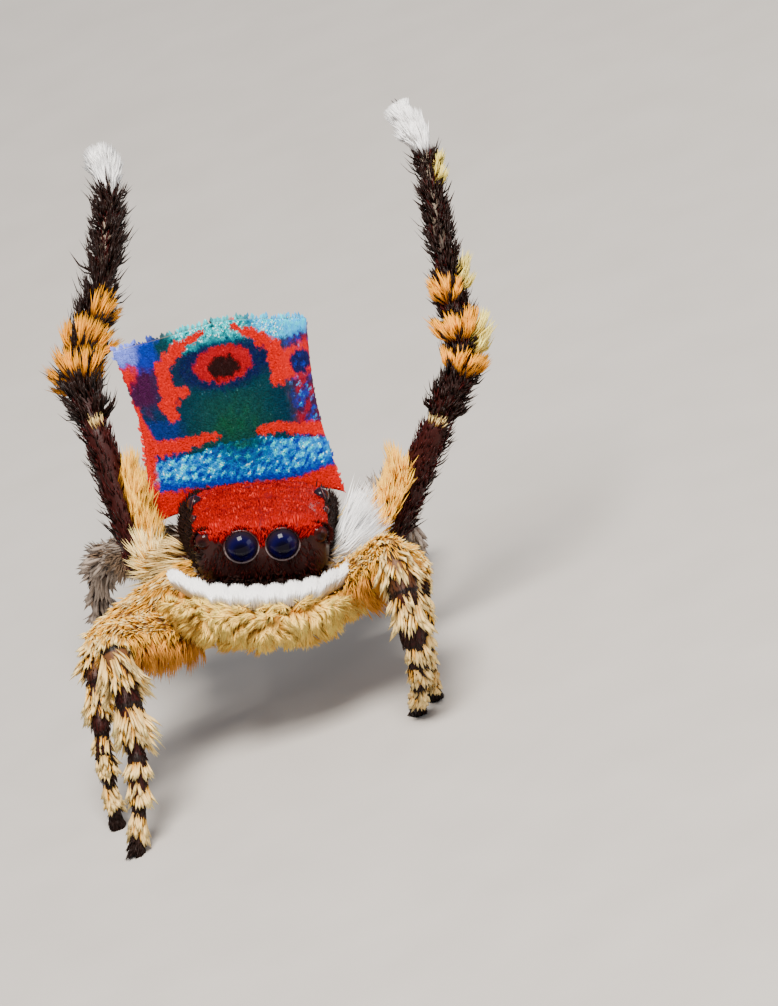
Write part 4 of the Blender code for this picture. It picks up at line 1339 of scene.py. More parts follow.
@dataclass(frozen=True)
class HairBand:
    """A stretch of a limb's coat, with its ends as joint numbers, and its hairs' number, size and tone."""

    low: float
    high: float
    count: int
    length: float
    width: float
    lean: float
    tone: Tone
    middle: float = 0.0
    spread: float = 360.0
    tufts: int = 0
    pull: float = 0.45
    whorl: bool = False
    flare: float = 0.0
    hang: float = 0.0
    only: Side | None = None


@dataclass
class LegPair:
    """A pair of legs: hips, knees, feet, the lengths below the knee, thickness, coat and dark rings."""

    number: int
    hip: Pair
    reach: dict[Side, Bone]
    lengths: tuple[float, float, float, float]
    knees: dict[Side, Bone]
    feet: dict[Side, Pair]
    bows: dict[Side, Bone]
    raised: dict[Side, Line]
    radii: tuple[float, ...]
    swelling: tuple[float, ...]
    coat: tuple[HairBand, ...]
    rings: dict[Side, Line]
    skin: tuple[Colour, ...]
    hip_depth: float = -0.60
    overhang: float = 0.12
    full_radius: float = 0.14
    # How long the hair past the knee is on either side, as a share.
    fullness: dict[Side, float] = field(default_factory=lambda: dict.fromkeys(Side, 1.0))

    def joints(self, head: Head, side: Side) -> Array:
        """The leg's joints in the stand frame, from hip to foot.

        Args:
            head: The head that carries it.
            side: Which leg of the pair.

        Returns:
            One row for each joint.
        """
        across, back = self.hip
        reach, forward, drop = self.reach[side]
        forward = math.radians(forward)
        hip = np.array([side.value * across, back, self.hip_depth])
        out = np.array([side.value * math.cos(forward) * reach, -math.sin(forward) * reach, -drop])
        upper = head.axes.place(np.stack([hip, hip + out]))
        lower = self._raised(side) if self.raised else self._standing(side)
        return np.concatenate([upper, lower])

    def _raised(self, side: Side) -> Array:
        """The joints of a raised leg from knee to tip, by the heading and rise of each segment.

        Args:
            side: Which leg of the pair.

        Returns:
            One row for each joint.
        """
        joints = [np.array(self.knees[side])]
        for length, (heading, rise) in zip(self.lengths, self.raised[side]):
            h, r = math.radians(heading), math.radians(rise)
            way = np.array([math.cos(r) * math.cos(h), math.cos(r) * math.sin(h), math.sin(r)])
            joints.append(joints[-1] + way * length)
        return np.array(joints)

    def _standing(self, side: Side) -> Array:
        """The joints from knee to foot, on a bow that takes up what the leg is longer than the way.

        Args:
            side: Which leg of the pair.

        Returns:
            One row for each joint.
        """
        knee = Vector(self.knees[side])
        foot = Vector((*self.feet[side], 0))
        way = foot - knee
        total = sum(self.lengths)
        spare = max(0.0, total / way.length - 1)
        bow = way.length * math.sqrt(3 / 8 * spare)
        aside = Vector(self.bows[side])
        aside = (aside - way.normalized() * aside.dot(way.normalized())).normalized()
        joints = [knee]
        walked = 0.0
        for length in self.lengths:
            walked += length / total
            joints.append(knee + way * walked + aside * bow * 4 * walked * (1 - walked))
        return np.array([list(joint) for joint in joints])

    def limb(self, head: Head, side: Side) -> Limb:
        """One leg of the pair.

        Args:
            head: The head that carries it.
            side: Which leg.

        Returns:
            The leg.
        """
        front, up = (0.0, -1.0, 0.0), (0.0, 0.0, 1.0)
        third = self.number == 3
        references = (front,) * 6 if third else (up, up, front, front, front, front)
        outer = (float(side.value), 0.0, -1.0 if third else 0.0)
        name = f"leg_{self.number}_{side.label}"
        return Limb(name, self.joints(head, side), self.radii, self.swelling, references, outer, side)

    def nodes(self, side: Side) -> list[str]:
        """The CAD nodes of one leg.

        Args:
            side: Which leg of the pair.

        Returns:
            Their names.
        """
        pieces = ["femur", "tibia", "metatarsus", "tarsus"]
        if self.number != 3:
            pieces.remove("metatarsus")
        return [f"leg_{self.number}_{side.label}_{piece}" for piece in pieces]

    def ring_share(self, limb: Limb, s: Array, wander: float = 0.012) -> Array:
        """How far each place along a leg belongs to a dark ring.

        Args:
            limb: The leg.
            s: Lengths along it.
            wander: How ragged the rings' edges are.

        Returns:
            1 in a ring, 0 between them.
        """
        share = np.zeros(len(s))
        rough = s + wander * ripple(s[:, None], 0.02, self.number)
        for q, half in self.rings[limb.side]:
            middle = limb.length_at(np.array([q]))[0]
            share = np.maximum(share, step(half * 1.25, half * 0.75, np.abs(rough - middle)))
        return share

    def marking(self, limb: Limb, s: Array) -> Array:
        """The skin's colours along a leg."""
        shade = between(limb.joint_place(s), np.arange(len(self.skin)), self.skin)
        return mix(shade, Tone.RING.root, self.ring_share(limb, s))

    def coat_of(self, limb: Limb, column: int, columns: int, draw: Random) -> Hairs:
        """The coat of one leg.

        Args:
            limb: The leg.
            column: Its column of the bake map.
            columns: How many columns there are.
            draw: Random numbers.

        Returns:
            Its hairs.
        """
        grown = []
        for band in self.coat:
            if band.only not in (None, limb.side):
                continue
            low, high = limb.length_at(np.array([band.low, band.high]))
            s = draw.uniform(low, high, band.count)
            if band.whorl:
                s -= self._since_ring(limb, s) * 0.42
                s = s[self.ring_share(limb, s, 0.004) < 0.4]
            turn = np.radians(band.middle + band.spread * (draw.random(len(s)) - 0.5))
            centre, along, out, radius = limb.around(s, turn)
            points = centre + out * (radius * SLIM)[:, None]
            share = (turn / (2 * math.pi)) % 1.0
            patch = beside((column + 0.02 + 0.96 * share) / columns, s / limb.length)
            size = (band.length, band.width, band.lean)
            hairs = grow(None, points, out, along, patch, draw, *size, *band.tone.value)
            if band.tufts:
                hairs.clumped(band.tufts, band.pull, draw)
            if band.low > 2:
                hairs.length = hairs.length * self.fullness[limb.side]
            room = limb.length - s + self.overhang
            if band.whorl:
                room = np.minimum(room, self._next_ring(limb, s) * 1.08 + 0.02)
                hairs.length = hairs.length * np.clip(radius / self.full_radius, 0.5, 1.1)
            hairs.length = np.clip(hairs.length, 0.03, np.maximum(room, 0.05))
            down = np.array([0.0, 0.0, -1.0])
            hairs.heading = unit(hairs.heading + down * band.hang)
            hairs.bend = unit(hairs.bend + out * band.flare + down * band.hang * 1.5)
            grown.append(hairs)
        return Hairs.joined(grown)

    def _next_ring(self, limb: Limb, s: Array) -> Array:
        """How far it is from places along a leg to the next dark ring."""
        stops = np.append(limb.length_at(np.array([q for q, _ in self.rings[limb.side]])), limb.length + 1)
        return stops[np.searchsorted(stops, s)] - s

    def _since_ring(self, limb: Limb, s: Array) -> Array:
        """How far places along a leg lie past the last dark ring, or past the knee."""
        starts = [2.0, *(q for q, _ in self.rings[limb.side])]
        stops = np.append(limb.length_at(np.array(starts)), limb.length + 1)
        return s - stops[np.maximum(np.searchsorted(stops, s) - 1, 0)]


SLIM = 0.90
AMBER_SKIN = (0.16, 0.070, 0.025)
HORN_SKIN = (0.070, 0.030, 0.014)
RUST_SKIN = (0.024, 0.003, 0.002)
BLACK_SKIN = (0.016, 0.009, 0.007)
PALE_SKIN = (0.34, 0.27, 0.20)
BAG_SKIN = (0.15, 0.10, 0.07)
JAW_HORN = (0.09, 0.045, 0.028)


def walking_coat(fringe: float, pale: Tone, warm: Tone, deep: Tone) -> tuple[HairBand, ...]:
    """The coat of a leg that stands: combed on the femur with a fringe below, and in whorls past the knee.

    Args:
        fringe: Length of the fringe that hangs from the femur.
        pale: The lightest hair.
        warm: The middle tone.
        deep: The fringe's tone.

    Returns:
        The bands of the coat.
    """
    return (
        HairBand(0.35, 2.18, 2100, 0.12, 0.019, 11, warm),
        HairBand(0.9, 2.18, 700, 0.15, 0.022, 16, pale, tufts=70, pull=0.5),
        HairBand(0.95, 1.90, 1000, fringe, 0.021, 55, deep, 180, 150, 60, 0.5, hang=0.5),
        HairBand(1.15, 2.05, 500, fringe * 0.65, 0.022, 48, warm, 180, 200, 40, 0.5, hang=0.4),
        HairBand(2.0, 5.95, 900, 0.07, 0.014, 16, Tone.RING),
        HairBand(2.05, 5.9, 230, 0.16, 0.028, 15, warm, tufts=70, pull=0.4, whorl=True),
        HairBand(2.05, 5.9, 400, 0.24, 0.048, 24, pale, tufts=170, pull=0.6, whorl=True, flare=0.35),
        HairBand(2.6, 4.9, 110, 0.29, 0.036, 36, pale, 180, 140, 40, 0.5, whorl=True, flare=0.5),
        HairBand(5.75, 6.0, 200, 0.10, 0.015, 26, Tone.BRISTLE, tufts=20),
    )


THIRD_COAT = (
    HairBand(0.3, 5.0, 2200, 0.11, 0.014, 20, Tone.RUST),
    HairBand(0.35, 1.15, 1000, 0.36, 0.018, 52, Tone.CREAM, -70, 150, 60, 0.5),
    HairBand(0.85, 1.64, 1300, 0.32, 0.019, 46, Tone.GOLD, -72, 110, 70, 0.5),
    HairBand(1.2, 2.0, 120, 0.20, 0.014, 35, Tone.BRISTLE, 90, 180),
    HairBand(1.97, 2.05, 40, 0.10, 0.014, 20, Tone.CREAM, -20, 80),
    HairBand(2.05, 5.0, 1750, 0.19, 0.020, 46, Tone.BRISTLE, tufts=300, pull=0.6),
    HairBand(2.05, 5.0, 200, 0.28, 0.020, 54, Tone.BRISTLE),
    HairBand(2.80, 2.96, 460, 0.27, 0.022, 46, Tone.ORANGE, 10, 300, 22, 0.7),
    HairBand(3.20, 3.34, 420, 0.28, 0.022, 46, Tone.ORANGE, -30, 230, 20, 0.7),
    HairBand(3.58, 3.70, 300, 0.26, 0.022, 44, Tone.ORANGE, -60, 180, 16, 0.7),
    HairBand(3.06, 3.28, 170, 0.36, 0.022, 58, Tone.STRAW, 85, 100, 12, 0.6, only=Side.LEFT),
    HairBand(3.66, 3.88, 160, 0.34, 0.022, 56, Tone.STRAW, 85, 100, 12, 0.6, only=Side.LEFT),
    HairBand(4.68, 4.90, 140, 0.26, 0.020, 50, Tone.STRAW, 85, 120, 10, 0.6, only=Side.LEFT),
    HairBand(5.0, 5.9, 1500, 0.24, 0.024, 24, Tone.WHITE, tufts=50, pull=0.5),
)


def both(value: object) -> dict[Side, object]:
    """The same value for the left and the right side."""
    return dict.fromkeys(Side, value)


def leg_pairs() -> dict[int, LegPair]:
    """The four pairs of legs.

    Returns:
        The pairs by their number.
    """
    left, right = Side.LEFT, Side.RIGHT
    swelling = (1.05, 1.20, 1.15, 1.15, 1.10, 1.05)
    rings = ((2.14, 0.028), (3.0, 0.032), (4.0, 0.032), (4.38, 0.026), (5.0, 0.028), (5.92, 0.05))
    near_rings = ((2.14, 0.030), (2.82, 0.030), (3.78, 0.034), (4.25, 0.026), (4.86, 0.030), (5.92, 0.05))
    far_rings = ((2.30, 0.030), (3.27, 0.034), (4.16, 0.034), (4.56, 0.026), (5.15, 0.030), (5.92, 0.05))
    walking_skin = (HORN_SKIN, AMBER_SKIN, AMBER_SKIN, RUST_SKIN, RUST_SKIN, RUST_SKIN, BLACK_SKIN)
    golden = (Tone.CREAM, Tone.GOLD, Tone.AMBER)
    return {
        1: LegPair(
            1, (0.42, 0.52), {left: (0.45, 26.0, 0.05), right: (0.45, 26.0, 0.45)}, (0.60, 0.66, 0.58, 0.50),
            {left: (1.28, -0.78, 1.86), right: (-1.81, -0.69, 1.96)},
            {left: (0.93, -0.72), right: (-2.31, -1.78)},
            {left: (0.1, -1.0, 0.1), right: (0.7, -0.8, 0.0)}, {},
            (0.17, 0.15, 0.155, 0.145, 0.105, 0.080, 0.075), swelling,
            walking_coat(0.34, *golden), {left: near_rings, right: far_rings}, walking_skin,
            fullness={left: 0.7, right: 1.0},
        ),
        2: LegPair(
            2, (0.46, 0.84), both((0.45, 12.0, 0.05)), (0.54, 0.60, 0.54, 0.46),
            {left: (1.46, -0.06, 1.40), right: (-1.99, 0.12, 1.69)},
            {left: (1.16, -0.52), right: (-2.43, -0.87)},
            {left: (-0.1, -1.0, 0.1), right: (-0.2, -1.0, 0.1)}, {},
            (0.15, 0.13, 0.125, 0.115, 0.090, 0.072, 0.070), swelling,
            walking_coat(0.22, *golden), both(rings), walking_skin, fullness={left: 0.65, right: 0.85},
        ),
        3: LegPair(
            3, (0.46, 1.15), both((0.78, 2.0, 0.20)), (0.68, 1.12, 1.15, 0.62),
            {left: (2.20, 1.10, 2.34), right: (-1.26, 1.93, 3.31)}, {}, {},
            {left: ((9, 45), (67, 68), (69, 61), (113, 63)), right: ((92, 37), (52, 33), (63, 37), (86, 36))},
            (0.17, 0.14, 0.140, 0.130, 0.095, 0.070, 0.060), (1.05, 1.30, 1.18, 1.15, 1.10, 1.30),
            THIRD_COAT, both(()),
            (HORN_SKIN, RUST_SKIN, RUST_SKIN, BLACK_SKIN, BLACK_SKIN, PALE_SKIN, PALE_SKIN),
            overhang=0.02, fullness={left: 0.85, right: 1.2},
        ),
        4: LegPair(
            4, (0.38, 1.48), both((0.45, -38.0, 0.05)), (0.50, 0.66, 0.70, 0.46),
            {left: (1.30, 2.15, 1.15), right: (-1.55, 2.30, 1.75)},
            {left: (1.50, 3.30), right: (-2.00, 3.30)},
            {left: (0.2, 0.6, 1.0), right: (-0.2, 0.6, 1.0)}, {},
            (0.16, 0.14, 0.145, 0.130, 0.095, 0.070, 0.065), swelling,
            walking_coat(0.22, Tone.ASH, Tone.TAN, Tone.TAN), both(rings), walking_skin,
        ),
    }


@dataclass
class Palps:
    """The pair of palps that carry the white band and the golden beard."""

    head: Head
    points: tuple[Bone, ...] = (
        (0.34, 0.26, -0.74), (0.78, -0.06, -0.62), (0.56, -0.34, -0.62), (0.16, -0.42, -0.72)
    )
    radii: tuple[float, ...] = (0.10, 0.13, 0.15, 0.12)
    swelling: tuple[float, ...] = (1.0, 1.15, 1.1)
    # The ridge that carries band and beard: across, back, up, thickness.
    ridge: Table = (
        (0.00, -0.44, -0.70, 0.16),
        (0.16, -0.44, -0.69, 0.17),
        (0.56, -0.36, -0.64, 0.18),
        (0.80, -0.12, -0.60, 0.14),
        (0.94, 0.06, -0.60, 0.10),
    )
    reach: float = 0.94
    scallops: int = 5
    band_hairs: int = 520
    band_top: float = -0.245
    band_rise: float = 0.07
    band_height: float = 0.24
    band_half_depth: float = 0.075
    beard_hairs: int = 4300
    arm_hairs: int = 700
    beard_tufts: int = 100
    beard_length: float = 0.20
    # The beard's colours on top, at the root and at the tip: painted light, as where the sun lights it.
    bright_root: Colour = (0.58, 0.26, 0.035)
    bright_tip: Colour = (1.0, 0.72, 0.17)

    def limb(self, side: Side) -> Limb:
        """One palp, in the stand frame.

        Args:
            side: Which palp.

        Returns:
            The palp.
        """
        mirrored = np.array(self.points) * (side.value, 1, 1)
        joints = self.head.axes.place(mirrored)
        references = ((0.0, -1.0, 0.0),) * 3
        outer = (side.value, 0.0, 0.0)
        return Limb(f"palp_{side.label}", joints, self.radii, self.swelling, references, outer, side)

    def marking(self, limb: Limb, s: Array) -> Array:
        """The skin's colours along a palp."""
        return mix(HORN_SKIN, AMBER_SKIN, step(0.25, 0.5, s / limb.length))

    def band(self, side: Side, draw: Random) -> Hairs:
        """The white hairs that stand up from one palp in scallops.

        Args:
            side: Which palp.
            draw: Random numbers.

        Returns:
            The hairs.
        """
        count = self.band_hairs * self.scallops
        scallop = np.arange(count) % self.scallops
        place = draw.uniform(-1, 1, count)
        x = self.reach * (scallop + 0.5 + 0.56 * place) / self.scallops
        depth = draw.uniform(-1, 1, count)
        back = np.interp(x, *np.array(self.ridge)[:, :2].T)
        outer = x / self.reach
        top = self.band_top + self.band_rise * outer**2
        own = beside(side.value * x, back + depth * self.band_half_depth, top - self.band_height)
        dome = 1 - 0.40 * np.abs(place) ** 2.3 - 0.12 * depth**2
        tall = self.band_height * dome * draw.uniform(0.93, 1.03, count)
        way = beside(side.value * 0.4 * outer**2 + 0.08 * place * side.value, -0.10 + 0.10 * depth, 1.0)
        way = unit(self.head.axes.turn(unit(way)) + draw.normal(0, 0.06, (count, 3)))
        bend = unit(way + draw.normal(0, 0.09, (count, 3)))
        patch = beside(0.5 + side.value * (0.05 + 0.42 * outer), 0.4 + 0.2 * depth)
        light = draw.uniform(0.95, 1.03, (count, 1))
        root, tip = (np.array(colour) * np.ones((count, 3)) * light for colour in Tone.WHITE.value)
        width = np.full(count, 0.026)
        return Hairs(self.head.axes.place(own), way, bend, tall, width, root, tip, patch)

    def beard(self, side: Side, draw: Random) -> Hairs:
        """The golden tufts that stand out and hang from one palp.

        Args:
            side: Which palp.
            draw: Random numbers.

        Returns:
            The hairs.
        """
        count = self.beard_hairs
        x = draw.uniform(-0.03, self.reach, count)
        low = draw.uniform(-1.02, 1.15, count)
        back, up, radius = smooth_table(self.ridge, x, 0.06)
        outer = np.abs(x) / self.reach
        angle = low * 1.25
        ways = unit(beside(side.value * (0.02 + 0.8 * outer**2), -np.cos(angle), -np.sin(angle)))
        own = beside(side.value * x, back, up) + ways * (radius * 0.9)[:, None]
        swirl = np.sin(8.0 * x + 4.0 * low + side.value)
        fall = -1.0 + 1.7 * step(-0.45, -0.95, low) + 0.5 * np.sin(11.0 * x - 3.0 * low)
        flow = beside(side.value * (0.2 + 0.5 * outer) + 0.6 * swirl, -0.2, fall)
        patch = beside(0.5 + side.value * (0.05 + 0.42 * outer), 0.5 + 0.35 * low)
        # Painted shade: lower down the beard the hair turns to darker amber roots and gold tips.
        deep = step(0.2, 1.1, low + draw.normal(0, 0.25, count))
        root = mix(self.bright_root, Tone.AMBER.root, deep)
        tip = mix(self.bright_tip, Tone.GOLD.tip, deep)
        axes = self.head.axes
        hairs = grow(axes, own, ways, flow, patch, draw, 1.0, 0.025, 56, root, tip, 0.42)
        hairs.length = hairs.length * self.beard_length
        hairs = hairs.clumped(self.beard_tufts, 0.86, draw)
        hairs.bend = unit(hairs.bend + axes.turn(flow) * 0.6)
        return Hairs.joined([hairs, self._arm(side, draw)])

    def _arm(self, side: Side, draw: Random) -> Hairs:
        """The golden hair of the arm that carries the ridge.

        Args:
            side: Which palp.
            draw: Random numbers.

        Returns:
            The hairs.
        """
        limb = self.limb(side)
        s = draw.uniform(*limb.length_at(np.array([0.35, 2.3])), self.arm_hairs)
        turn = draw.uniform(0, 2 * math.pi, self.arm_hairs)
        centre, along, out, radius = limb.around(s, turn)
        points = centre + out * (radius * 0.9)[:, None]
        patch = beside(0.5 + side.value * 0.40, 0.1 + 0.3 * s / limb.length)
        return grow(None, points, out, along, patch, draw, 0.14, 0.021, 24, *Tone.GOLD.value)


# The whole skin.


@dataclass
class Skin:
    """One unbroken skin over head, abdomen, fan, palps and legs."""

    head: Head
    fan: Fan
    pattern: FanPattern
    palps: Palps
    pairs: dict[int, LegPair]
    voxel: float = 0.0267
    smoothing: int = 3

    def __post_init__(self) -> None:
        """Lays out the limbs."""
        self.legs = {(n, side): pair.limb(self.head, side) for n, pair in self.pairs.items() for side in Side}
        self.palp_limbs = {side: self.palps.limb(side) for side in Side}

    def build(self) -> Piece:
        """The skin's shape and markings, in millimetres.

        Returns:
            The skin.
        """
        parts = [shaped_ball("spider_skin", 96, 72, self.head.closed_form)]
        parts.append(shaped_ball("bag", 48, 40, self.fan.closed_bag))
        parts.append(self._sheet())
        parts.append(self._waist())
        parts += self._spinnerets()
        parts += [limb.body(SLIM) for limb in (*self.legs.values(), *self.palp_limbs.values())]
        only(*parts)
        bpy.ops.object.join()
        skin = bpy.context.view_layer.objects.active
        skin.data.remesh_voxel_size = self.voxel
        bpy.ops.object.voxel_remesh()
        smooth = skin.modifiers.new("Smooth", "SMOOTH")
        smooth.factor = 0.5
        smooth.iterations = self.smoothing
        bpy.ops.object.modifier_apply(modifier=smooth.name)
        bpy.ops.object.shade_smooth()
        mark(skin, self.marking(points_of(skin)))
        return skin

    def nodes(self) -> list[str]:
        """The CAD nodes of flesh that the skin stands for.

        Returns:
            Their names.
        """
        names = ["cephalothorax", "abdomen", "spinnerets"]
        for side in Side:
            names += [f"fan_flap_{side.label}", f"palp_{side.label}"]
            names += [name for pair in self.pairs.values() for name in pair.nodes(side)]
        return names

    def _sheet(self) -> Piece:
        """The fan's plate and flaps as one thin slab.

        Returns:
            The slab, in millimetres.
        """
        add = bpy.ops.mesh.primitive_grid_add
        sheet = primitive("fan_sheet", add, x_subdivisions=110, y_subdivisions=90, size=2)
        flat = points_of(sheet)
        set_points(sheet, self.fan.axes.place(self.fan.sheet(flat[:, 0], flat[:, 1])[2]))
        only(sheet)
        slab = sheet.modifiers.new("Slab", "SOLIDIFY")
        slab.thickness = self.fan.thickness
        slab.offset = 0
        bpy.ops.object.modifier_apply(modifier=slab.name)
        return sheet

    def _waist(self) -> Piece:
        """The thin waist between thorax and abdomen."""
        start = self.head.axes.place(np.array([[0, self.head.length - 0.10, -0.48]]))
        end = self.fan.axes.place(np.array([[0, 0.24, self.fan.bag_low + 0.12]]))
        return tube("waist", np.concatenate([start, (start + end) / 2, end]), np.array([0.10, 0.09, 0.12]))

    def _spinnerets(self) -> list[Piece]:
        """The cluster of spinnerets at the top of the bag, behind the fan.

        Returns:
            One tube for each spinneret.
        """
        found = []
        fan = self.fan
        for k, (across, up, size) in enumerate(fan.spinnerets):
            start = np.array([across * 0.7, fan.spinneret_back, fan.spinneret_up + up * 0.7])
            way = unit(np.array([across, 0.9, 0.35 + up]))
            shares = np.array([-0.3, 0.3, 0.8, 0.95, 1.0])
            points = start + way * (shares * fan.spinneret_length * size)[:, None]
            radii = fan.spinneret_radius * size * np.array([1.0, 1.05, 0.75, 0.55, 0.25])
            found.append(tube(f"spinneret_{k}", fan.axes.place(points), radii))
        return found

    def marking(self, points: Array) -> Array:
        """The skin's colour at places of the stand frame, from whichever part is nearest.

        Args:
            points: Places on the skin.

        Returns:
            A colour for each place.
        """
        colours = self.head.marking(self.head.axes.local(points))
        nearest = self.head.depth(points)
        away = self.fan.depth(points)
        closer = away < nearest
        colours[closer] = self._abdomen_marking(points[closer])
        nearest = np.minimum(nearest, away)
        limbs = [(limb, self.pairs[number].marking) for (number, _), limb in self.legs.items()]
        limbs += [(limb, self.palps.marking) for limb in self.palp_limbs.values()]
        for limb, marking in limbs:
            away, s = self._from_limb(points, limb)
            closer = away < nearest
            colours[closer] = marking(limb, s[closer])
            nearest = np.minimum(nearest, away)
        return colours

    def _abdomen_marking(self, points: Array) -> Array:
        """The fan's pattern in front, and the dull bag and flap backs behind it.

        Args:
            points: Places of the stand frame.

        Returns:
            A colour for each place.
        """
        own = self.fan.axes.local(points)
        across, up = self.fan.unfolded(own)
        front = self.pattern.colours(across, up)
        behind = np.array(BAG_SKIN) * (1 + 0.3 * ripple(own, 0.2, 51))[:, None]
        deep = own[:, 1] - self.fan.folded(across, up, 0.0)[:, 1]
        waist = step(0.06, 0.12, deep) * step(self.fan.bag_low + 0.10, self.fan.bag_low - 0.02, own[:, 2])
        behind = mix(behind, Tone.DUSK.tip, waist)
        return mix(front, behind, step(-0.01, 0.02, deep))

    def _from_limb(self, points: Array, limb: Limb) -> tuple[Array, Array]:
        """How far places lie outside a limb, and where along it.

        Args:
            points: The places.
            limb: The limb.

        Returns:
            Distances outside its surface, and lengths along it.
        """
        low, high = limb.table["centre"].min(0) - 0.4, limb.table["centre"].max(0) + 0.4
        close = np.all((points > low) & (points < high), axis=1)
        away = np.full(len(points), np.inf)
        place = np.zeros(len(points))
        tree = KDTree(limb.samples)
        for k, centre in enumerate(limb.table["centre"]):
            tree.insert(centre, k)
        tree.balance()
        for i in np.nonzero(close)[0]:
            _, k, distance = tree.find(points[i])
            away[i] = distance - limb.table["radius"][k] * SLIM
            place[i] = limb.table["s"][k]
        return away, place


# Eyes, jaws and claws.


@dataclass(frozen=True)
class Eye:
    """One pair of eyes in the head's frame: place, radius, where they look, and their colours."""

    name: str
    across: float
    back: float
    up: float
    radius: float
    gaze: Bone
    centre_colour: Colour
    edge_colour: Colour
    rim_colour: Colour
    segments: int = 48
    # The lens towards its rim, and the rim's upper half, which lies in the crown: dark red, the crown's colour
    # darkened by painted shade under the crown's hair.
    night: Colour = (0.010, 0.006, 0.010)
    dark_rim: Colour = (0.05, 0.004, 0.004)

    def lens(self, head: Head, side: Side) -> Piece:
        """The shining ball of one eye.

        Args:
            head: The head that carries it.
            side: Which eye of the pair.

        Returns:
            The lens, in millimetres.
        """
        sizes = {"segments": self.segments, "ring_count": self.segments // 2, "radius": self.radius}
        lens, points, gaze = self._placed(head, side, "lens", 0.0, bpy.ops.mesh.primitive_uv_sphere_add, sizes)
        facing = unit(points) @ gaze
        colours = mix(self.centre_colour, self.edge_colour, step(0.97, 0.80, facing))
        mark(lens, mix(colours, self.night, step(0.85, 0.45, facing)))
        return lens

    def rim(self, head: Head, side: Side) -> Piece:
        """The thin ring of hard skin round one eye.

        Args:
            head: The head that carries it.
            side: Which eye of the pair.

        Returns:
            The ring, in millimetres.
        """
        sizes = {"major_segments": 48, "minor_segments": 10, "major_radius": self.radius * 0.985}
        sizes["minor_radius"] = self.radius * 0.035 + 0.004
        ring, points, _ = self._placed(head, side, "rim", 0.30, bpy.ops.mesh.primitive_torus_add, sizes)
        # The rim's upper half is painted dark red: the crown's colour with painted shade under its hair.
        crown_shaded = step(-0.3, 0.3, (points @ head.axes.turn(np.array([0.0, 0.0, 1.0]))) / self.radius)
        mark(ring, mix(self.rim_colour, self.dark_rim, crown_shaded))
        return ring

    def _placed(
        self, head: Head, side: Side, what: str, ahead: float, add: Operator, sizes: dict[str, float]
    ) -> tuple[Piece, Array, Array]:
        """A smooth primitive turned to one eye's gaze, in its place.

        Args:
            head: The head that carries the eye.
            side: Which eye of the pair.
            what: The part of the eye.
            ahead: How far it stands before the eye's middle, as a share of the radius.
            add: The operator that adds it.
            sizes: What the operator is given.

        Returns:
            The piece, its points from the eye's middle, and the way the eye looks.
        """
        gaze = Vector(unit(head.axes.turn(np.array([self.gaze]) * (side.value, 1, 1)))[0])
        piece = primitive(f"eye_{self.name}_{side.label}_{what}", add, **sizes)
        turned = np.array(Vector((0, 0, 1)).rotation_difference(gaze).to_matrix())
        points = points_of(piece) @ turned.T + np.array(gaze) * self.radius * ahead
        centre = np.array([[side.value * self.across, self.back, self.up]])
        set_points(piece, points + head.axes.place(centre)[0])
        bpy.ops.object.shade_smooth()
        return piece, points, np.array(gaze)


NAVY_LENS = ((0.0008, 0.0002, 0.004), (0.0015, 0.0003, 0.027))
BROWN_LENS = ((0.010, 0.003, 0.003), (0.045, 0.007, 0.005))
EYES = (
    Eye("anterior_median", 0.215, 0.045, 0.0, 0.185, (0.03, -1, 0.02), *NAVY_LENS, (0.20, 0.15, 0.15)),
    Eye("anterior_lateral", 0.595, 0.120, 0.045, 0.110, (0.34, -1, 0.02), *BROWN_LENS, (0.10, 0.06, 0.05)),
    Eye("posterior_median", 0.690, 0.520, 0.110, 0.045, (1, -0.35, 0.15), *BROWN_LENS, (0.08, 0.05, 0.04), 24),
    Eye("posterior_lateral", 0.668, 0.930, 0.105, 0.088, (1, 0.15, 0.25), *BROWN_LENS, (0.09, 0.05, 0.04)),
)


@dataclass
class Jaws:
    """The pair of jaws under the face, behind the palps."""

    head: Head
    across: float = 0.17
    back: float = 0.20
    top: float = -0.61
    length: float = 0.42
    radius: float = 0.145

    def shell(self, side: Side) -> Piece:
        """One jaw: a ball drawn out downwards and narrowed to its fang.

        Args:
            side: Which jaw.

        Returns:
            The jaw, in millimetres.
        """

        def surface(share: Array, turn: Array) -> Array:
            """Places of the jaw from its top to its tip.

            Args:
                share: From 0 at one end to 1 at the other.
                turn: The turn round it.

            Returns:
                Places in the stand frame.
            """
            wide = np.interp(share, (0, 0.05, 0.2, 0.6, 0.85, 0.96, 1), (0, 0.75, 1, 0.98, 0.78, 0.5, 0))
            x = side.value * self.across * (1 - 0.1 * share) + self.radius * wide * np.cos(turn)
            y = self.back - 0.04 * share + self.radius * wide * np.sin(turn)
            return self.head.axes.place(beside(x, y, self.top - self.length * share))

        jaw = shaped_ball(f"jaw_{side.label}", 32, 24, surface)
        bpy.ops.object.shade_smooth()
        points = points_of(jaw)
        shade = step(self.top, self.top - self.length, self.head.axes.local(points)[:, 2])
        mark(jaw, mix(JAW_HORN, BLACK_SKIN, shade))
        return jaw


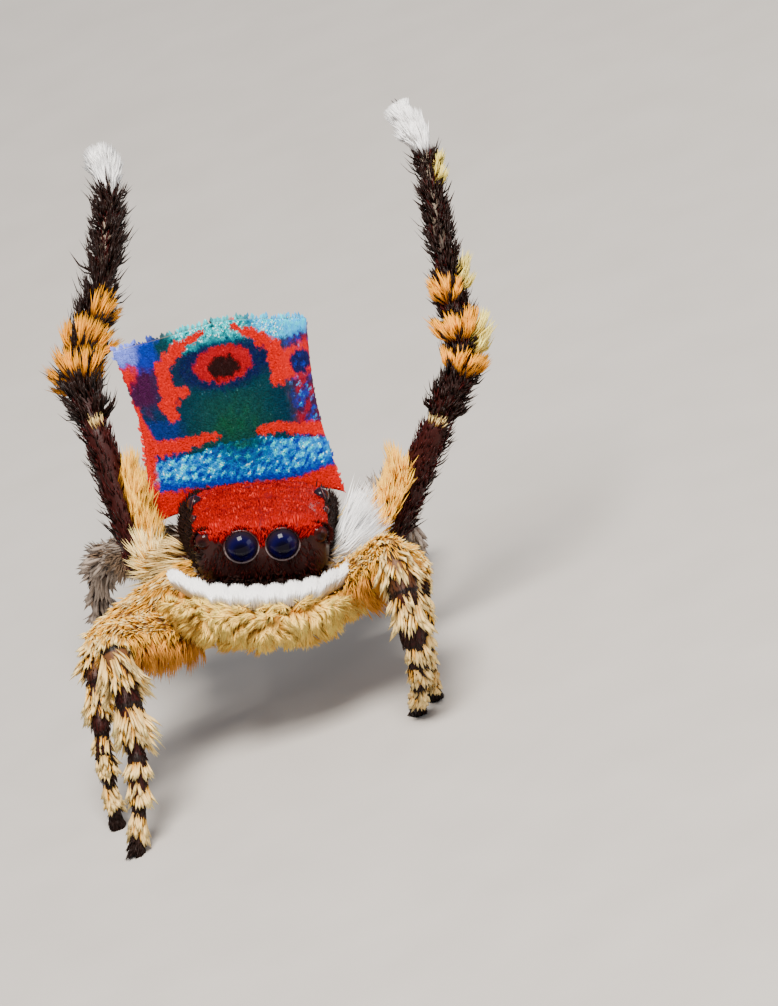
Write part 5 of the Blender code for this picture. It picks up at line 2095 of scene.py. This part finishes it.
@dataclass
class Claws:
    """The two small hooks at the end of each leg."""

    length: float = 0.075
    radius: float = 0.012
    parting: float = 0.022

    def build(self, limbs: dict[tuple[int, Side], Limb]) -> Piece:
        """All claws as one piece.

        Args:
            limbs: The legs by pair and side.

        Returns:
            The claws, in millimetres.
        """
        found = []
        for (number, _), limb in limbs.items():
            centre, along, _ = limb.read(np.array([limb.length - 0.01]))
            across = unit(np.cross(along, (0, 0, 1)))[0]
            for hand in (-1, 1):
                start = centre[0] + across * hand * self.parting
                found.append(self._claw(start, along[0], across, number == 3))
        only(*found)
        bpy.ops.object.join()
        claws = bpy.context.view_layer.objects.active
        claws.name = "claws"
        mark(claws, np.tile(BLACK_SKIN, (len(claws.data.vertices), 1)))
        return claws

    def _claw(self, root: Array, along: Array, across: Array, raised: bool) -> Piece:
        """One hook: a cone cut along its length and bent.

        Args:
            root: Its root.
            along: The way the leg ends.
            across: Across the leg.
            raised: Whether the leg is off the floor.

        Returns:
            The claw, in millimetres.
        """
        sizes = {"vertices": 8, "radius1": self.radius, "radius2": self.radius * 0.1, "depth": self.length}
        cone = primitive("claw", bpy.ops.mesh.primitive_cone_add, **sizes)
        bpy.ops.object.mode_set(mode="EDIT")
        for share in (-0.2, 0.1, 0.35):
            bpy.ops.mesh.select_all(action="SELECT")
            bpy.ops.mesh.bisect(plane_co=(0, 0, share * self.length), plane_no=(0, 0, 1))
        bpy.ops.object.mode_set(mode="OBJECT")
        points = points_of(cone)
        rise = points[:, 2] / self.length + 0.5
        ahead = unit(along if raised else along * (1, 1, 0) + np.array([0, 0, -0.25]))
        hook = unit(np.cross(ahead, across))
        hook = hook if hook[2] < 0 else -hook
        bent = root + ahead * (rise * self.length)[:, None] + across * points[:, :1]
        bent += hook * (points[:, 1] + self.length * 0.35 * rise**2)[:, None]
        if not raised:
            bent[:, 2] += 0.03
        set_points(cone, bent)
        bpy.ops.object.shade_smooth()
        return cone


# Coats of the trunk.


@dataclass
class HeadCoat:
    """The red crown, the dull hair of face and flanks, and the long pale hair of the cheeks."""

    head: Head
    draw: Random
    crown_hairs: int = 17500
    face_hairs: int = 2600
    flank_hairs: int = 6000
    side_hairs: int = 1500
    cheek_hairs: int = 2000
    lobe_hairs: int = 1600
    fringe_hairs: int = 420
    brow_hairs: int = 260
    cheek_tufts: int = 170
    glint: Colour = (0.85, 0.05, 0.03)

    def crown(self) -> Hairs:
        """The short red setae on top of the head, down between the eyes.

        Returns:
            The hairs.
        """

        def wanted(back: Array, turn: Array) -> Array:
            """Dense on the crown, none off it."""
            return self.head.crown_share(self.head.outline(back, turn))

        low, high = (0.0, -0.4), (1.5, 3.6)
        back, turn, _, _ = scattered(self.head.outline, low, high, self.crown_hairs, self.draw, wanted)
        hairs = self._lay(back, turn, (0.0, 1.0, 0.06), 0.085, 0.020, 14, Tone.CROWN)
        hairs.tip_colour[self.draw.random(len(back)) < 0.07] = self.glint
        return Hairs.joined([hairs, self._front()])

    def _front(self) -> Hairs:
        """The hairs of the flat face, red above and between the eyes and dusky below them.

        Returns:
            The hairs.
        """
        x = self.draw.uniform(-0.62, 0.62, self.face_hairs)
        z = self.draw.uniform(-0.40, 0.19, self.face_hairs)
        free = np.ones(len(x), dtype=bool)
        for eye in EYES[:2]:
            free &= np.hypot(np.abs(x) - eye.across, z - eye.up) > eye.radius
        own = beside(x, -0.02, z)[free]
        red = self.head.crown_share(own) > 0.5
        kept = red | (self.draw.random(len(own)) < 0.25)
        own, red = own[kept], red[kept]
        flow = np.where(red[:, None], (0.0, 0.0, 1.0), (0.0, 0.0, -1.0)) + own * (1.0, 0, 0)
        hairs = self._on_face(own, flow, red, 1.0, 0.014, 26)
        hairs.length = hairs.length * np.where(red, 0.075, 0.05)
        return hairs

    def flanks(self) -> Hairs:
        """The dull hair of the head's sides and underside.

        Returns:
            The hairs.
        """

        def wanted(back: Array, turn: Array) -> Array:
            """On the sides and behind the crown, thin on the bare face."""
            own = self.head.outline(back, turn)
            bare = step(0.05, 0.35, own[:, 1]) * 0.9 + 0.1 * step(0.0, 0.05, own[:, 1])
            return (1 - self.head.crown_share(own)) * bare

        low, high = (0.0, 0.0), (2.0, 2 * math.pi)
        back, turn, _, _ = scattered(self.head.outline, low, high, self.flank_hairs, self.draw, wanted)
        grown = [self._lay(back, turn, (0.0, 1.0, -0.1), 0.12, 0.016, 20, Tone.DUSK)]
        for side in Side:
            # On the shaded side the dark hair is longer and lifted at the rear: partly the flank's own hair,
            # partly a dark fill for painted shade under the fan's corner.
            shaded = side is Side.RIGHT
            back = self.draw.uniform(0.5, 1.9, self.side_hairs)
            turn = (math.pi + 0.18 if shaded else -0.02) + self.draw.normal(0, 0.24, self.side_hairs)
            turn -= 0.85 * step(1.15, 1.55, back) * shaded
            flow = (side.value * 0.4, 0.8, 0.45)
            hairs = self._lay(back, turn, flow, 1.0, 0.018, 34 if shaded else 28, Tone.DUSK)
            hairs.length = hairs.length * (0.10 + (0.16 if shaded else 0.12) * step(0.7, 1.6, back))
            grown.append(hairs)
        return Hairs.joined([*grown, self._fringe()])

    def _fringe(self) -> Hairs:
        """The dusky fringe that stands forward from the face's lower edge, over the jaws.

        Returns:
            The hairs.
        """
        ranges = ((-0.56, 0.56), (-0.02, 0.10), (-0.46, -0.40))
        x, y, z = (self.draw.uniform(low, high, self.fringe_hairs) for low, high in ranges)
        flow = beside(0.5 * x, -1.0, -0.35)
        patch = beside((x + 1) / 2, 0.25)
        size = (0.36, 0.026, 12)
        own = beside(x, y, z)
        return grow(self.head.axes, own, (0.0, -0.3, -1.0), flow, patch, self.draw, *size, *Tone.DUSK.value)

    def cheeks(self) -> Hairs:
        """The long cream hair along the lower edge of the head's sides, painted lighter on the sunny side and
        ash on the shaded one.

        Returns:
            The hairs.
        """
        grown = []
        for side in Side:
            sunny = side is Side.LEFT
            count = self.cheek_hairs if sunny else self.cheek_hairs // 2
            drop = self.draw.normal(0.80 if sunny else 1.0, 0.22, count)
            turn = (0.0 if sunny else math.pi) - side.value * drop
            back = self.draw.uniform(0.30, 1.65, count)
            rise = 0.5 + 0.6 * back if sunny else np.full(count, 0.1)
            flow = beside(side.value * 0.7, 0.5, rise)
            # Painted light and shade: the sunny side's hair is cream with mostly white tips, the other side's
            # ash with fewer, cream tips.
            hairs = self._lay(back, turn, flow, 1.0, 0.019, 50, Tone.CREAM if sunny else Tone.ASH)
            hairs.length = hairs.length * ((0.20 if sunny else 0.14) + 0.16 * step(0.5, 1.2, back))
            light = self.draw.random(count) < (0.7 if sunny else 0.25)
            hairs.tip_colour[light] = Tone.WHITE.tip if sunny else Tone.CREAM.tip
            grown.append(hairs)
        return Hairs.joined([*grown, self._lobe()]).clumped(self.cheek_tufts, 0.55, self.draw)

    def _lobe(self) -> Hairs:
        """The white lobe that stands out and up from the left side of the head."""
        turn = -self.draw.normal(0.45, 0.10, self.lobe_hairs)
        back = self.draw.uniform(0.45, 1.30, self.lobe_hairs)
        return self._lay(back, turn, (0.25, 0.05, 1.0), 0.58, 0.025, 27, Tone.WHITE)

    def brows(self) -> Hairs:
        """The smallest hairs, in a ring round each front eye.

        Returns:
            The hairs.
        """
        grown = []
        for eye in EYES[:2]:
            for side in Side:
                turn = self.draw.uniform(0, 2 * math.pi, self.brow_hairs)
                wide = eye.radius * self.draw.uniform(1.02, 1.22, self.brow_hairs)
                own = beside(wide * np.cos(turn), 0.0, wide * np.sin(turn))
                out = unit(own)
                own += (side.value * eye.across, eye.back - 0.02, eye.up)
                red = (own[:, 2] > eye.up + 0.02) & (eye.radius > 0.15)
                grown.append(self._on_face(own, out, red, 0.05, 0.010, 25))
        return Hairs.joined(grown)

    def _on_face(self, own: Array, flow: Array, red: Array, length: float, width: float, lean: float) -> Hairs:
        """Small hairs of the face.

        Args:
            own: Their places in the head's frame.
            flow: The lie of the coat.
            red: Which of them are red and not dusky.
            length: Their length.
            width: Their width.
            lean: How far they stand off.

        Returns:
            The hairs.
        """
        patch = beside((own[:, 0] + 1) / 2, (own[:, 2] + 1) / 2)
        root = np.where(red[:, None], Tone.CROWN.root, Tone.DUSK.root)
        tip = np.where(red[:, None], Tone.CROWN.tip, Tone.RUST.tip)
        ahead = (0.0, -1.0, 0.0)
        return grow(self.head.axes, own, ahead, flow, patch, self.draw, length, width, lean, root, tip)

    def _lay(
        self, back: Array, turn: Array, flow: Array | Bone, length: float, width: float, lean: float, tone: Tone
    ) -> Hairs:
        """Hairs on the head's surface.

        Args:
            back: How far behind the face each is.
            turn: Its turn round the head.
            flow: The lie of the coat.
            length: Their length.
            width: Their width.
            lean: How far they stand off.
            tone: Their colours.

        Returns:
            The hairs.
        """
        tiny = 1e-3
        own = self.head.outline(back, turn)
        first = self.head.outline(back + tiny, turn) - own
        second = self.head.outline(back, turn + tiny) - own
        normal = outward(unit(np.cross(first, second)), own, own * (0, 1, 0) + (0, 0, -0.22))
        patch = beside((turn / (2 * math.pi)) % 1.0, back / self.head.length)
        points = own - normal * 0.01
        return grow(self.head.axes, points, normal, flow, patch, self.draw, length, width, lean, *tone.value)


@dataclass
class FanCoat:
    """The glittering scales of the fan's face, the dull ones of its back, and the hair of the bag."""

    fan: Fan
    pattern: FanPattern
    draw: Random
    face_scales: int = 31000
    back_scales: int = 7000
    bag_hairs: int = 6500
    bag_tufts: int = 320

    def face(self) -> tuple[Hairs, Array]:
        """The scales of the fan's face.

        Returns:
            The scales, and the way each one faces.
        """
        x, y, own, normal = self._spread(self.face_scales, 1)
        shade = self.pattern.colours(*self.fan.sheet(x, y)[:2])
        # Painted glitter: scales of the glittering colours vary more in brightness, and sparks among them are
        # painted near white as highlights.
        glitter = step(0.24, 0.42, shade[:, 1])
        shade = shade * np.exp(self.draw.normal(0, 1, (len(x), 1)) * (0.13 + 0.36 * glitter[:, None]))
        sparkle_highlight = self.draw.random(len(x)) < 0.004 + 0.15 * glitter
        shade[sparkle_highlight] = shade[sparkle_highlight] * 1.8 + 0.8 * glitter[sparkle_highlight, None] + 0.02
        patch = beside(0.02 + 0.46 * (x + 1) / 2, 0.02 + 0.96 * (y + 1) / 2)
        inside = 1 - 0.5 * step(0.94, 1.0, np.maximum(np.abs(x), y))
        return self._scales(own, normal, shade, patch, 0.034 * inside, 0.021)

    def back(self) -> tuple[Hairs, Array]:
        """The dull scales of the fan's back.

        Returns:
            The scales, and the way each one faces.
        """
        x, y, own, normal = self._spread(self.back_scales, -1)
        tone = mix(Tone.TAN.root, Tone.TAN.tip, 0.5 + 0.4 * ripple(own, 0.15, 71))
        rim = step(0.88, 0.95, np.maximum(np.abs(x), y))
        shade = mix(tone, self.pattern.colours(*self.fan.sheet(x, y)[:2]), rim)
        shade = shade * np.exp(self.draw.normal(0, 0.25, (len(x), 1)))
        patch = beside(0.52 + 0.46 * (x + 1) / 2, 0.02 + 0.96 * (y + 1) / 2)
        return self._scales(own, normal, shade, patch, 0.065, 0.034)

    def bag(self) -> Hairs:
        """The coarse hair of the abdomen's sides and back, lying up towards the spinnerets.

        Returns:
            The hairs.
        """
        low, high = (0.0, -0.15), (0.995, math.pi + 0.15)
        share, turn, own, normal = scattered(self.fan.bag, low, high, self.bag_hairs, self.draw)
        normal = outward(normal, own, own * (0, 0, 1) + (0, self.fan.bag_depth * 0.45, 0))
        patch = beside(0.05 + 0.9 * turn / math.pi, 0.02 + 0.96 * share)
        streak = step(-0.5, 0.9, ripple(own * (1.6, 1.6, 0.5), 0.22, 72))
        root = mix(Tone.DUSK.root, Tone.GOLD.root, streak)
        tip = mix(Tone.TAN.root, Tone.CREAM.tip, streak)
        flow = (0.0, 0.25, 1.0)
        hairs = grow(self.fan.axes, own, normal, flow, patch, self.draw, 0.24, 0.019, 27, root, tip)
        hairs.length = hairs.length * (1 - 0.6 * step(0.55, 0.85, share))
        return hairs.clumped(self.bag_tufts, 0.5, self.draw)

    def _spread(self, count: int, side: int) -> tuple[Array, Array, Array, Array]:
        """Places on the fan's face or back.

        Args:
            count: How many.
            side: 1 for the face and -1 for the back.

        Returns:
            Shares across and up, places in the fan's frame, and outward normals.
        """

        def surface(x: Array, y: Array) -> Array:
            """That side of the fan."""
            return self.fan.sheet(x, y, side * self.fan.thickness / 2)[2]

        x, y, own, normal = scattered(surface, (-1, -1), (1, 1), count, self.draw)
        return x, y, own, normal * np.where(normal[:, 1] * side > 0, -1, 1)[:, None]

    def _scales(
        self, own: Array, normal: Array, shade: Array, patch: Array, length: Array | float, width: float
    ) -> tuple[Hairs, Array]:
        """Scales on given places of the fan, pointing up and out.

        Args:
            own: Places in the fan's frame.
            normal: The fan's normals there.
            shade: The scales' colours.
            patch: Places on the unwrap.
            length: Their length.
            width: Their width.

        Returns:
            The scales, and the way each one faces.
        """
        draw = self.draw
        count = len(own)
        flow = unit(beside(own[:, 0] * 0.5, 0.0, 1.0) + draw.normal(0, 0.30, (count, 3)))
        lie = unit(flow - normal * np.sum(flow * normal, axis=1, keepdims=True))
        axes = self.fan.axes
        heading = axes.turn(unit(lie + normal * draw.uniform(0.06, 0.42, (count, 1))))
        facing = axes.turn(unit(normal + draw.normal(0, 0.22, (count, 3))))
        size = length * draw.uniform(0.75, 1.25, count)
        tip = shade * draw.uniform(0.95, 1.25, (count, 1))
        wide = width * draw.uniform(0.8, 1.2, count)
        points = axes.place(own - normal * 0.004)
        return Hairs(points, heading, heading, size, wide, shade * 0.8, tip, patch), facing


# Camera, light and floor.


@dataclass(frozen=True)
class Lamp:
    """A square softbox: its way from the spider in the picture's axes, distance, side, light and colour.

    Its strength is the light that reaches the spider, in watts for each square metre.
    """

    name: str
    way: Bone
    away: float
    side: float
    strength: float
    colour: Colour


@dataclass
class Studio:
    """The photo's viewpoint, soft lamps and a plain pale floor."""

    stand: Stand
    pixel: float = 0.0105
    away: float = 90.0
    down_deg: float = 20.0
    roll_deg: float = 20.0
    # The spot that the camera looks at, right of and above the point between the eyes.
    aim: Pair = (1.3335, 0.441)
    picture: tuple[int, int] = (778, 1006)
    sensor: float = 36.0
    floor_size: float = 600.0
    lamps: tuple[Lamp, ...] = (
        Lamp("key_lamp", (-0.30, 0.85, 0.95), 70, 42.0, 9.8, (1.0, 0.94, 0.87)),
        Lamp("fill_lamp", (1.0, 0.25, 0.7), 80, 60.0, 1.7, (0.98, 0.97, 1.0)),
        Lamp("rim_lamp", (0.5, 0.9, -0.9), 80, 40.0, 1.0, (1.0, 0.97, 0.93)),
    )

    def build(self, eyes: Array) -> None:
        """Sets up camera, lamps, sky and floor.

        Args:
            eyes: The point between the big eyes, in the stand frame.
        """
        view = self._view()
        centre = eyes + view[0] * self.aim[0] + view[1] * self.aim[1]
        self._camera(view, centre)
        for lamp in self.lamps:
            self._hang(lamp, view, centre)
        self._sky()
        self._floor()

    def _view(self) -> tuple[Array, Array, Array]:
        """The picture's right and up, and the way back to the camera, in the stand frame.

        Returns:
            Three directions of length one.
        """
        down, roll = math.radians(self.down_deg), math.radians(self.roll_deg)
        level = np.array([1.0, 0.0, 0.0])
        rise = np.array([0.0, math.sin(down), math.cos(down)])
        back = np.array([0.0, -math.cos(down), math.sin(down)])
        right = level * math.cos(roll) - rise * math.sin(roll)
        up = level * math.sin(roll) + rise * math.cos(roll)
        return right, up, back

    def _camera(self, view: tuple[Array, Array, Array], centre: Array) -> None:
        """The camera at the photo's viewing angle.

        Args:
            view: The picture's right and up, and the way back to the camera.
            centre: What the middle of the picture shows.
        """
        lens = bpy.data.cameras.new("camera")
        lens.sensor_width = self.sensor
        lens.lens = self.sensor * self.away / (self.picture[1] * self.pixel)
        lens.clip_start = 0.002
        lens.clip_end = 10.0
        camera = bpy.data.objects.new("camera", lens)
        bpy.context.scene.collection.objects.link(camera)
        place = (centre + view[2] * self.away) * MM + self.stand.shift
        turned = Matrix(beside(*view).tolist()).to_4x4()
        camera.matrix_world = Matrix.Translation(Vector(place)) @ turned
        bpy.context.scene.camera = camera

    def _hang(self, lamp: Lamp, view: tuple[Array, Array, Array], centre: Array) -> None:
        """Hangs up a lamp, turned to the spider.

        Args:
            lamp: The lamp.
            view: The picture's right and up, and the way back to the camera.
            centre: What it lights.
        """
        x, y, z = lamp.way
        place = centre + (x * view[0] + y * view[1] + z * view[2]) * lamp.away
        way = Vector((centre - place) * MM)
        box = bpy.data.lights.new(lamp.name, "AREA")
        box.shape = "SQUARE"
        box.size = lamp.side * MM
        box.energy = lamp.strength * math.pi * way.length_squared
        box.color = lamp.colour
        holder = bpy.data.objects.new(lamp.name, box)
        bpy.context.scene.collection.objects.link(holder)
        turned = way.to_track_quat("-Z", "Y").to_matrix().to_4x4()
        holder.matrix_world = Matrix.Translation(Vector(place * MM + self.stand.shift)) @ turned

    def _sky(self) -> None:
        """A soft pale surrounding light."""
        world = bpy.data.worlds.new("studio")
        world.use_nodes = True
        background = world.node_tree.nodes["Background"]
        background.inputs["Color"].default_value = (0.86, 0.90, 1.0, 1)
        background.inputs["Strength"].default_value = 0.45
        bpy.context.scene.world = world

    def _floor(self) -> None:
        """A plain pale floor with the faintest grain."""
        floor = primitive("floor", bpy.ops.mesh.primitive_plane_add, size=self.floor_size * MM)
        graph = Graph("pale_floor")
        grain = graph.add("TexNoise", {"Vector": graph.add("TexCoord").outputs["Object"], "Scale": 900.0})
        ramp = graph.add("ValToRGB", {"Fac": grain.outputs["Fac"]})
        ramp.color_ramp.elements[0].color = (0.41, 0.385, 0.355, 1)
        ramp.color_ramp.elements[1].color = (0.47, 0.445, 0.415, 1)
        looks = {"Roughness": 0.85, "Specular IOR Level": 0.2, "Base Color": ramp.outputs["Color"]}
        graph.put(graph.shader, looks)
        floor.data.materials.append(graph.material)


@dataclass
class Spider:
    """The whole animal, from its named sub-assemblies."""

    stand: Stand
    head: Head
    pattern: FanPattern = field(default_factory=FanPattern)

    def __post_init__(self) -> None:
        """Puts the sub-assemblies together."""
        self.fan = Fan(self.head)
        self.palps = Palps(self.head)
        self.pairs = leg_pairs()
        self.skin = Skin(self.head, self.fan, self.pattern, self.palps, self.pairs)

    def build(self) -> None:
        """Builds and dresses every piece in order."""
        self._finish(SKIN, self.skin.build(), *self.skin.nodes())
        for eye in EYES:
            for side in Side:
                self._finish(LENS, eye.lens(self.head, side), f"eye_{eye.name}_{side.label}")
                self._finish(RIM, eye.rim(self.head, side))
        jaws = Jaws(self.head)
        for side in Side:
            self._finish(JAW, jaws.shell(side), f"chelicera_{side.label}")
        self._finish(CLAW, Claws().build(self.skin.legs))
        self._trunk_coats()
        self._palp_coats()
        self._leg_coats()

    def _finish(self, finish: Finish, piece: Piece, *nodes: str) -> None:
        """Dresses and fastens a piece that stands for some CAD nodes, or for none."""
        self.stand.finish(piece, finish, list(nodes))

    def _trunk_coats(self) -> None:
        """The coats of the head, the fan and the bag."""
        coat = HeadCoat(self.head, np.random.default_rng(SEED + 1))
        self._finish(CROWN, tufted("crown_coat", coat.crown()))
        self._finish(CROWN, tufted("flank_coat", coat.flanks()))
        self._finish(PALE, tufted("cheek_coat", coat.cheeks()))
        self._finish(CROWN, tufted("brow_coat", coat.brows()))
        coat = FanCoat(self.fan, self.pattern, np.random.default_rng(SEED + 2))
        self._finish(SCALE, scaled("fan_face_scales", *coat.face()))
        self._finish(HIND, scaled("fan_back_scales", *coat.back()))
        self._finish(HIND, tufted("bag_coat", coat.bag()))

    def _palp_coats(self) -> None:
        """The white band and the golden beard."""
        draw = np.random.default_rng(SEED + 3)
        bands = Hairs.joined([self.palps.band(side, draw) for side in Side])
        beards = Hairs.joined([self.palps.beard(side, draw) for side in Side])
        self._finish(PALE, tufted("palp_band_coat", bands))
        self._finish(GOLDEN, tufted("palp_beard_coat", beards))

    def _leg_coats(self) -> None:
        """The coat of each pair of legs."""
        for number, pair in self.pairs.items():
            draw = np.random.default_rng(SEED + 10 + number)
            coats = [pair.coat_of(self.skin.legs[number, side], k, 2, draw) for k, side in enumerate(Side)]
            self._finish(DARK if number == 3 else GOLDEN, tufted(f"leg_{number}_coat", Hairs.joined(coats)))


def main() -> None:
    """Builds the studio and the spider, and reports each piece."""
    logging.basicConfig(level=logging.INFO, format="%(message)s")
    head = Head()
    eyes = head.axes.place(np.array([[0, EYES[0].back, EYES[0].up]]))[0]
    stand = Stand(eyes)
    Studio(stand).build(np.array([0.0, 0.0, head.eye_height]))
    Spider(stand, head).build()


if __name__ == "__main__":
    main()
